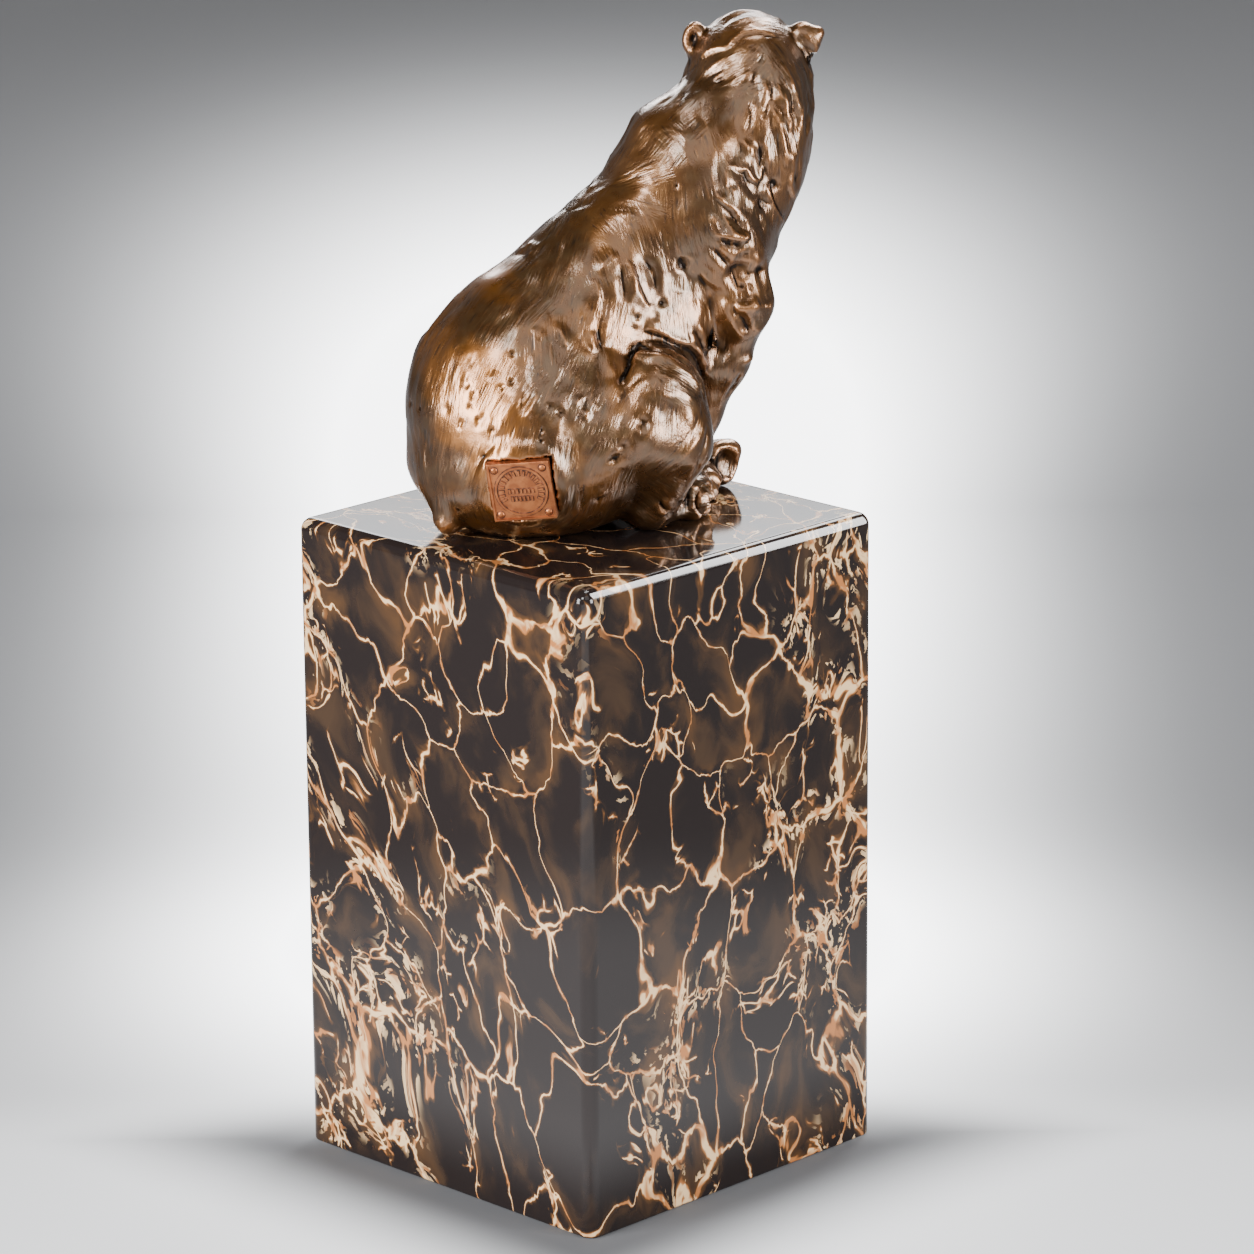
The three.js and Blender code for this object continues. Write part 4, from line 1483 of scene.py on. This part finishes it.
@dataclass(frozen=True)
class BronzePatina:
    """Cast bronze under a hot brown patina and wax: brown depths, ochre places, rubbed edges."""

    brown: str = "#5c3a15"
    dark: str = "#180d05"
    ochre: str = "#8a5413"
    rubbed: str = "#a06b3c"
    pale: str = "#5a4022"
    roughness: float = 0.3
    metallic: float = 0.87
    cloud: float = 16.0
    grain: float = 0.45
    hair: float = 0.8
    hair_depth: float = 0.18

    def material(self) -> bpy.types.Material:
        """Makes the material."""
        material, tree, shader = new_material("brown_patina_bronze")
        place = add(tree, "ShaderNodeTexCoord").outputs["Object"]
        cloud = add(tree, NOISE, {"Vector": place, "Scale": per_metre(self.cloud), "Detail": 4.0})
        mottle = add(tree, NOISE, {"Vector": place, "Scale": per_metre(3.2), "Detail": 4.0})
        edge, hollow, rear, share, sure = (
            add(tree, "ShaderNodeAttribute", attribute_name=name).outputs["Fac"]
            for name in ("edge", "hollow", "ochre", "hair_share", "hair_sure")
        )
        # Combed lines along the hair, in two sets that fade into each other. They are 0.1 mm
        # fine in life, which is too fine to show, so they are drawn 0.4 mm apart.
        size = {"Scale": per_metre(self.hair), "Detail": 2.0, "Roughness": 0.6}
        first, second = (
            add(tree, NOISE, {"Vector": along.outputs["Vector"]} | size)
            for along in (
                add(tree, "ShaderNodeAttribute", attribute_name=name)
                for name in ("hair_first", "hair_second")
            )
        )
        hair = add(tree, MIX, {0: share, 2: first, 3: second})
        hair = add(tree, MIX, {0: sure, 2: 0.5, 3: hair})
        grey = add(tree, RAMP, {0: mottle, 1: 0.35, 2: 0.7}, **SOFT)
        colour = add(tree, MIX, {0: grey, 6: linear(self.brown), 7: linear(self.pale)}, **COLOUR)
        most = add(tree, RAMP, {0: rear, 1: 0.0, 2: 0.8, 3: 0.35, 4: 0.95}, **SOFT)
        warm = add(tree, RAMP, {0: cloud, 1: 0.42, 2: 0.62, 4: most}, **SOFT)
        colour = add(tree, MIX, {0: warm, 6: colour.outputs[2], 7: linear(self.ochre)}, **COLOUR)
        deep = add(tree, RAMP, {0: hollow, 1: 0.0, 2: -0.9, 4: 0.75}, **SOFT)
        cut = add(tree, RAMP, {0: edge, 1: -0.2, 2: -1.0, 4: 0.5}, **SOFT)
        depth = add(tree, MATH, {0: deep, 1: cut}, operation="ADD", use_clamp=True)
        colour = add(tree, MIX, {0: depth, 6: colour.outputs[2], 7: linear(self.dark)}, **COLOUR)
        line = add(tree, RAMP, {0: hair, 1: 0.46, 2: 0.28, 4: 0.6}, **SOFT)
        colour = add(tree, MIX, {0: line, 6: colour.outputs[2], 7: linear(self.dark)}, **COLOUR)
        worn = add(tree, RAMP, {0: hair, 1: 0.54, 2: 0.7, 4: 0.3}, **SOFT)
        rub = add(tree, RAMP, {0: edge, 1: 0.2, 2: 1.0, 3: worn, 4: 0.7}, **SOFT)
        colour = add(tree, MIX, {0: rub, 6: colour.outputs[2], 7: linear(self.rubbed)}, **COLOUR)
        combed = add(tree, "ShaderNodeBump", {"Height": hair, "Distance": self.hair_depth * MM})
        grain = add(tree, NOISE, {"Vector": place, "Scale": per_metre(self.grain), "Detail": 2.0})
        cast = {"Height": grain, "Distance": 0.02 * MM, "Normal": combed}
        bump = add(tree, "ShaderNodeBump", cast)
        low, high = self.roughness - 0.05, self.roughness + 0.07
        rough = add(tree, RAMP, {0: mottle, 1: 0.3, 2: 0.75, 3: low, 4: high})
        tree.links.new(colour.outputs[2], shader.inputs["Base Color"])
        tree.links.new(rough.outputs[0], shader.inputs["Roughness"])
        tree.links.new(bump.outputs[0], shader.inputs["Normal"])
        tree.links.new(bump.outputs[0], shader.inputs["Coat Normal"])
        shader.inputs["Metallic"].default_value = self.metallic
        # The wax is thin in the cuts, which stay brown
        wax = add(tree, RAMP, {0: depth, 1: 0.1, 2: 0.7, 3: 1.0, 4: 0.12}, **SOFT)
        tree.links.new(wax.outputs[0], shader.inputs["Coat Weight"])
        shader.inputs["Coat IOR"].default_value = 1.6
        shader.inputs["Coat Roughness"].default_value = 0.23
        return material


@dataclass(frozen=True)
class VeinedMarble:
    """Polished black-brown marble: dark pebble-like cells in a net of cream and peach veins."""

    dark: str = "#1d1716"
    smoke: str = "#3a2b1f"
    haze: str = "#5a3d22"
    cream: str = "#dfbc8e"
    peach: str = "#a96b3b"
    roughness: float = 0.09

    def net(
        self, tree: bpy.types.NodeTree, place: object, cell: float, widest: object, corner: float
    ) -> tuple[bpy.types.Node, bpy.types.Node]:
        """Draws a net of veins round pebble-like cells.

        Args:
            tree: The node tree.
            place: The warped coordinates.
            cell: The cells' size in millimetres.
            widest: The veins' half width in millimetres.
            corner: How far the veins fill the cells' corners, in millimetres.

        Returns:
            How far a point is from the nearest vein, in widths of it, and in millimetres.
        """
        feeds = {"Vector": place, "Scale": per_metre(cell)}
        gap = add(tree, "ShaderNodeTexVoronoi", feeds, feature="DISTANCE_TO_EDGE")
        middle = add(tree, "ShaderNodeTexVoronoi", feeds, feature="F1")
        away = add(tree, MATH, {0: gap, 1: cell}, operation="MULTIPLY")
        fill = add(tree, RAMP, {0: middle, 1: 0.6, 2: 0.95, 4: corner}, **SOFT)
        width = add(tree, MATH, {0: fill, 1: widest}, operation="ADD")
        return add(tree, MATH, {0: away, 1: width}, operation="DIVIDE"), away

    def material(self) -> bpy.types.Material:
        """Makes the material."""
        material, tree, shader = new_material("polished_veined_marble")
        place = add(tree, "ShaderNodeTexCoord").outputs["Object"]
        lean = {"Rotation": (0.0, math.radians(26), 0.0), "Scale": (1.0, 1.0, 1.6)}
        upright = add(tree, "ShaderNodeMapping", {"Vector": place} | lean, vector_type="TEXTURE")
        # The cells are drawn out and bent over 32 mm, their outlines over 8 mm and 2 mm
        bent = upright
        for size, by in ((32.0, 34.0), (8.0, 5.6), (2.2, 1.3)):
            swing = add(tree, NOISE, {"Vector": bent, "Scale": per_metre(size), "Detail": 2.5})
            feeds = {0: swing.outputs["Color"], 1: (by * MM,) * 3, 2: bent}
            bent = add(tree, "ShaderNodeVectorMath", feeds, operation="MULTIPLY_ADD")
        density, change, fleck, smoke, tone, froth = (
            add(tree, NOISE, {"Vector": where, "Scale": per_metre(size), "Detail": detail})
            for where, size, detail in (
                (upright, 36.0, 1.5),
                (bent, 11.0, 2.0),
                (bent, 12.0, 3.0),
                (bent, 14.0, 5.0),
                (bent, 4.0, 2.0),
                (bent, 2.4, 5.0),
            )
        )
        axes = add(tree, "ShaderNodeSeparateXYZ", {0: place})
        # The veins crowd towards the right edges of both sides that the photograph shows
        right = add(tree, RAMP, {0: axes.outputs["Y"], 1: -0.012, 2: -0.036, 4: 0.16}, **SOFT)
        feeds = {0: axes.outputs["X"], 1: 0.024, 2: 0.046, 3: right, 4: 0.14}
        left = add(tree, RAMP, feeds, **SOFT)
        packed = add(tree, MATH, {0: density, 1: left}, operation="ADD")
        crowd = add(tree, RAMP, {0: packed, 1: 0.53, 2: 0.68}, **SOFT)
        swell = add(tree, RAMP, {0: change, 1: 0.45, 2: 0.8, 3: 0.13, 4: 0.3}, **SOFT)
        swell = add(tree, MATH, {0: crowd, 1: 0.1, 2: swell}, operation="MULTIPLY_ADD")
        large, away = self.net(tree, bent, 19.0, swell, 0.5)
        slim = add(tree, MATH, {0: swell, 1: 0.75}, operation="MULTIPLY")
        small, _ = self.net(tree, bent, 8.5, slim, 0.4)
        tiny, _ = self.net(tree, bent, 4.6, 0.22, 0.15)
        lift = add(tree, RAMP, {0: change, 1: 0.58, 2: 0.48, 4: 3.0}, **SOFT)
        lift = add(tree, RAMP, {0: crowd, 1: 0.3, 2: 0.0, 3: lift, 4: 4.0}, **SOFT)
        small = add(tree, MATH, {0: small, 1: lift}, operation="ADD")
        lift = add(tree, RAMP, {0: fleck, 1: 0.64, 2: 0.56, 4: 4.0}, **SOFT)
        tiny = add(tree, MATH, {0: tiny, 1: lift}, operation="ADD")
        near = add(tree, MATH, {0: large, 1: small}, operation="MINIMUM")
        near = add(tree, MATH, {0: near, 1: tiny}, operation="MINIMUM")

        cloudy = add(tree, RAMP, {0: smoke, 1: 0.46, 2: 0.7}, **SOFT)
        colour = add(tree, MIX, {0: cloudy, 6: linear(self.dark), 7: linear(self.smoke)}, **COLOUR)
        glow = add(tree, RAMP, {0: away, 1: 4.0, 2: 0.4, 4: 0.5}, **SOFT)
        glow = add(tree, RAMP, {0: smoke, 1: 0.5, 2: 0.7, 4: glow}, **SOFT)
        glow = add(tree, RAMP, {0: near, 1: 3.4, 2: 0.9, 3: glow, 4: 0.7}, **SOFT)
        colour = add(tree, MIX, {0: glow, 6: colour.outputs[2], 7: linear(self.haze)}, **COLOUR)
        foam = add(tree, RAMP, {0: froth, 1: 0.55, 2: 0.58, 4: 0.9}, **SOFT)
        foam = add(tree, RAMP, {0: packed, 1: 0.56, 2: 0.66, 4: foam}, **SOFT)
        foam = add(tree, RAMP, {0: away, 1: 3.5, 2: 1.5, 4: foam}, **SOFT)
        light = add(tree, RAMP, {0: tone, 1: 0.38, 2: 0.54}, **SOFT)
        tint = add(tree, MIX, {0: light, 6: linear(self.peach), 7: linear(self.cream)}, **COLOUR)
        colour = add(tree, MIX, {0: foam, 6: colour.outputs[2], 7: tint.outputs[2]}, **COLOUR)
        rim = add(tree, RAMP, {0: near, 1: 1.5, 2: 0.8, 4: 0.9}, **SOFT)
        colour = add(tree, MIX, {0: rim, 6: colour.outputs[2], 7: linear(self.peach)}, **COLOUR)
        core = add(tree, RAMP, {0: near, 1: 0.95, 2: 0.6}, **SOFT)
        colour = add(tree, MIX, {0: core, 6: colour.outputs[2], 7: tint.outputs[2]}, **COLOUR)
        tree.links.new(colour.outputs[2], shader.inputs["Base Color"])
        shader.inputs["Roughness"].default_value = self.roughness
        shader.inputs["IOR"].default_value = 1.42
        return material


@dataclass(frozen=True)
class StruckCopper:
    """Copper struck in a die and rubbed clean on its high places: satin, salmon-coloured."""

    bright: str = "#ac6c43"
    dull: str = "#915636"
    stain: str = "#3a2013"
    roughness: float = 0.42

    def material(self) -> bpy.types.Material:
        """Makes the material of the plate."""
        material, tree, shader = new_material("struck_copper")
        place = add(tree, "ShaderNodeTexCoord").outputs["Object"]
        tone = add(tree, NOISE, {"Vector": place, "Scale": per_metre(2.4), "Detail": 4.0})
        share = add(tree, RAMP, {0: tone, 1: 0.35, 2: 0.65}, **SOFT)
        colour = add(tree, MIX, {0: share, 6: linear(self.dull), 7: linear(self.bright)}, **COLOUR)
        grain = add(tree, NOISE, {"Vector": place, "Scale": per_metre(0.5), "Detail": 2.0})
        bump = add(tree, "ShaderNodeBump", {"Height": grain, "Distance": 0.03 * MM, "Strength": 0.6})
        tree.links.new(colour.outputs[2], shader.inputs["Base Color"])
        tree.links.new(bump.outputs[0], shader.inputs["Normal"])
        shader.inputs["Metallic"].default_value = 0.9
        shader.inputs["Roughness"].default_value = self.roughness
        return material

    def stained(self) -> bpy.types.Material:
        """Makes the dark wax that stays round what is raised."""
        material, tree, shader = new_material("wax_in_the_recesses")
        place = add(tree, "ShaderNodeTexCoord").outputs["Object"]
        tone = add(tree, NOISE, {"Vector": place, "Scale": per_metre(1.2), "Detail": 3.0})
        share = add(tree, RAMP, {0: tone, 1: 0.4, 2: 0.75}, **SOFT)
        colour = add(tree, MIX, {0: share, 6: linear(self.stain), 7: linear(self.dull)}, **COLOUR)
        tree.links.new(colour.outputs[2], shader.inputs["Base Color"])
        shader.inputs["Metallic"].default_value = 0.3
        shader.inputs["Roughness"].default_value = 0.6
        return material


@dataclass(frozen=True)
class Softbox:
    """A soft light.

    Its turn is in degrees to the right of the camera, as the bear sees it, and its rise in
    degrees up. Its size is its width and height, and its reach how far it hangs from what
    it is aimed at, in metres. Its radiance is how bright its face is.
    """

    name: str
    turn: float
    rise: float
    size: Pixel
    radiance: float
    reach: float = 1.35
    aim: Point = (0.0, 0.0, 0.22)

    def hang(self, camera: PhotoCamera) -> bpy.types.Object:
        """Makes the light.

        Args:
            camera: The camera that it is placed round.

        Returns:
            The light.
        """
        right, _, ahead = camera.axes()
        towards = Vector((-ahead.x, -ahead.y, 0)).normalized()
        across = Vector((right.x, right.y, 0)).normalized()
        turn, rise = math.radians(self.turn), math.radians(self.rise)
        level = across * math.sin(turn) + towards * math.cos(turn)
        way = level * math.cos(rise) + Vector((0, 0, math.sin(rise)))
        data = bpy.data.lights.new(self.name, "AREA")
        data.shape = "RECTANGLE"
        data.size, data.size_y = self.size
        data.energy = self.radiance * math.pi * self.size[0] * self.size[1]
        lamp = bpy.data.objects.new(self.name, data)
        lamp.location = Vector(self.aim) + way * self.reach
        lamp.rotation_euler = way.to_track_quat("Z", "Y").to_euler()
        bpy.context.scene.collection.objects.link(lamp)
        return lamp


CROWN = (-0.012, -0.046, 0.28)

SOFTBOXES = (
    Softbox("key_softbox", -56.0, 10.0, (0.54, 0.85), 31.0),
    Softbox("side_softbox", 60.0, 8.0, (0.5, 0.6), 29.0),
    Softbox("flank_softbox", -24.0, 40.0, (0.36, 0.36), 26.0),
    Softbox("crown_softbox", 164.0, 82.0, (0.15, 0.13), 11.0, 0.42, CROWN),
    Softbox("fill_softbox", 24.0, 44.0, (0.8, 0.8), 1.6),
    Softbox("right_edge_softbox", 155.0, 44.0, (0.36, 0.9), 18.0),
    Softbox("left_edge_softbox", -165.0, 22.0, (0.2, 0.4), 12.0),
)

EDGE_SOFTBOX = Softbox("edge_softbox", 100.0, 25.0, (0.45, 0.95), 38.0, 1.0)


@dataclass
class Studio:
    """The pale sweep and the soft lights."""

    camera: PhotoCamera
    radius: float = 3.2
    wall: float = 2.6
    cove: float = 0.9
    paper_grey: str = "#545558"
    paper_light: str = "#fcfdff"
    room: str = "#c9b79c"
    room_light: float = 0.15

    def sweep(self) -> None:
        """Builds the floor, which turns up into a wall all round."""
        work = bmesh.new()
        verts = [work.verts.new((0, 0, 0))]
        verts += [work.verts.new((r, 0, 0)) for r in (0.5, 1.2, self.radius - self.cove)]
        for n in range(1, 13):
            angle = n / 12 * math.pi / 2
            reach = self.radius - self.cove + self.cove * math.sin(angle)
            verts.append(work.verts.new((reach, 0, self.cove * (1 - math.cos(angle)))))
        verts.append(work.verts.new((self.radius, 0, self.wall)))
        edges = [work.edges.new(pair) for pair in zip(verts, verts[1:])]
        spin_round(work, verts, edges, 96)
        bmesh.ops.remove_doubles(work, verts=work.verts, dist=1e-5)
        bmesh.ops.recalc_face_normals(work, faces=work.faces)
        mesh = bpy.data.meshes.new("sweep")
        work.to_mesh(mesh)
        work.free()
        smooth(mesh)
        sweep = bpy.data.objects.new("sweep", mesh)
        bpy.context.scene.collection.objects.link(sweep)
        mesh.materials.append(self.paper())

    def paper(self) -> bpy.types.Material:
        """Makes the pale paper, which glows with painted light: bright behind the sculpture and at its
        foot.
        """
        material, tree, shader = new_material("paper_with_painted_glow_and_shadow")
        place = add(tree, "ShaderNodeTexCoord").outputs["Object"]
        ahead = self.camera.axes()[2]
        level = Vector((ahead.x, ahead.y, 0)).normalized()
        aside = Vector((level.y, -level.x, 0))
        behind, side = (
            product.outputs["Value"]
            for product in (
                add(tree, "ShaderNodeVectorMath", {0: place, 1: way}, operation="DOT_PRODUCT")
                for way in (level, aside)
            )
        )
        axes = add(tree, "ShaderNodeSeparateXYZ", {0: place})
        height = axes.outputs["Z"]
        spread = add(tree, RAMP, {0: behind, 1: 0.6, 2: 1.6, 3: 0.087, 4: 0.177})
        across = add(tree, MATH, {0: side, 1: spread}, operation="DIVIDE")
        # Painted pools of light: the paper glows brightest behind the sculpture and at its foot
        glow = None
        for middle, reach, most in ((0.6, 0.38, 17.0), (0.14, 0.085, 12.0)):
            along = add(tree, MATH, {0: behind, 1: middle}, operation="SUBTRACT")
            along = add(tree, MATH, {0: along, 1: reach}, operation="DIVIDE")
            along = add(tree, MATH, {0: along, 1: along}, operation="MULTIPLY")
            away = add(tree, MATH, {0: across, 1: across, 2: along}, operation="MULTIPLY_ADD")
            bell = add(tree, MATH, {0: 1 / math.e, 1: away}, operation="POWER")
            glow = add(tree, MATH, {0: bell, 1: most, 2: glow or 0.0}, operation="MULTIPLY_ADD")
        level_light = add(tree, RAMP, {0: behind, 1: -0.1, 2: 0.25, 3: 0.95, 4: 0.06}, **SOFT)
        off = add(tree, MATH, {0: side}, operation="ABSOLUTE")
        level_light = add(tree, RAMP, {0: off, 1: 0.2, 2: 0.32, 3: level_light, 4: 0.06}, **SOFT)
        glow = add(tree, MATH, {0: glow, 1: 6.0}, operation="MINIMUM")
        glow = add(tree, MATH, {0: glow, 1: level_light}, operation="ADD")
        # Painted shadow in front of the plinth's foot, where the paper's glow is dimmed
        sizes = [add(tree, MATH, {0: axes.outputs[n]}, operation="ABSOLUTE") for n in (0, 1)]
        foot = add(tree, MATH, {0: sizes[0], 1: sizes[1]}, operation="MAXIMUM")
        painted_shadow = add(tree, RAMP, {0: foot, 1: 0.056, 2: 0.105, 3: 0.02, 4: 1.4}, **SOFT)
        painted_shadow = add(tree, RAMP, {0: behind, 1: -0.01, 2: 0.04, 3: painted_shadow, 4: 1.0}, **SOFT)
        glow = add(tree, MATH, {0: glow, 1: painted_shadow}, operation="MULTIPLY")
        # A painted light panel high behind: the paper glows brightly there, and the top of the plinth
        # mirrors it
        painted_light_panel = add(tree, RAMP, {0: height, 1: 0.85, 2: 1.3, 3: 0.6, 4: 8.0})
        painted_light_panel = add(tree, RAMP, {0: off, 1: 0.75, 2: 0.5, 4: painted_light_panel}, **SOFT)
        painted_light_panel = add(tree, RAMP, {0: behind, 1: 2.0, 2: 2.6, 3: 0.14, 4: painted_light_panel}, **SOFT)
        painted_light_panel = add(tree, RAMP, {0: height, 1: 1.6, 2: 1.9, 3: painted_light_panel, 4: 0.14}, **SOFT)
        glow = add(tree, RAMP, {0: height, 1: 0.45, 2: 0.75, 3: glow, 4: painted_light_panel}, **SOFT)
        tree.links.new(glow.outputs[0], shader.inputs["Emission Strength"])
        shader.inputs["Base Color"].default_value = linear(self.paper_grey)
        shader.inputs["Roughness"].default_value = 0.9
        shader.inputs["Emission Color"].default_value = linear(self.paper_light)
        return material

    def edge_strip(self, plinth: bpy.types.Object) -> None:
        """Hangs the softbox that the plinth's right top edge mirrors, flagged off the bear.

        Args:
            plinth: The finished plinth, which is all that it lights.
        """
        lit = bpy.data.collections.new("edge_lit")
        lit.objects.link(plinth)
        lamp = EDGE_SOFTBOX.hang(self.camera)
        lamp.light_linking.receiver_collection = lit
        lamp.visible_diffuse = False

    def build(self) -> None:
        """Builds the sweep, the lights and the grey of the room."""
        self.sweep()
        for softbox in SOFTBOXES:
            softbox.hang(self.camera)
        world = bpy.data.worlds.new("room")
        bpy.context.scene.world = world
        world.use_nodes = True
        grey = world.node_tree.nodes["Background"]
        grey.inputs["Color"].default_value = linear(self.room)
        grey.inputs["Strength"].default_value = self.room_light


def report(piece: bpy.types.Object) -> bpy.types.Object:
    """Logs a finished piece and gives it back."""
    log.info("%s: %d faces", piece.name, len(piece.data.polygons))
    return piece


def main() -> None:
    """Builds the scene piece by piece."""
    logging.basicConfig(level=logging.INFO, format="%(relativeCreated)6d ms %(message)s")
    camera = PhotoCamera()
    camera.build()
    studio = Studio(camera)
    studio.build()
    bear = Bear(camera, PLATE_SEAT)
    report(bear.build(BronzePatina().material()))
    studio.edge_strip(report(Plinth().build(VeinedMarble().material())))
    copper = StruckCopper()
    report(Plate(PLATE_SEAT, bear.place).build(copper.material(), copper.stained()))


if __name__ == "__main__":
    main()
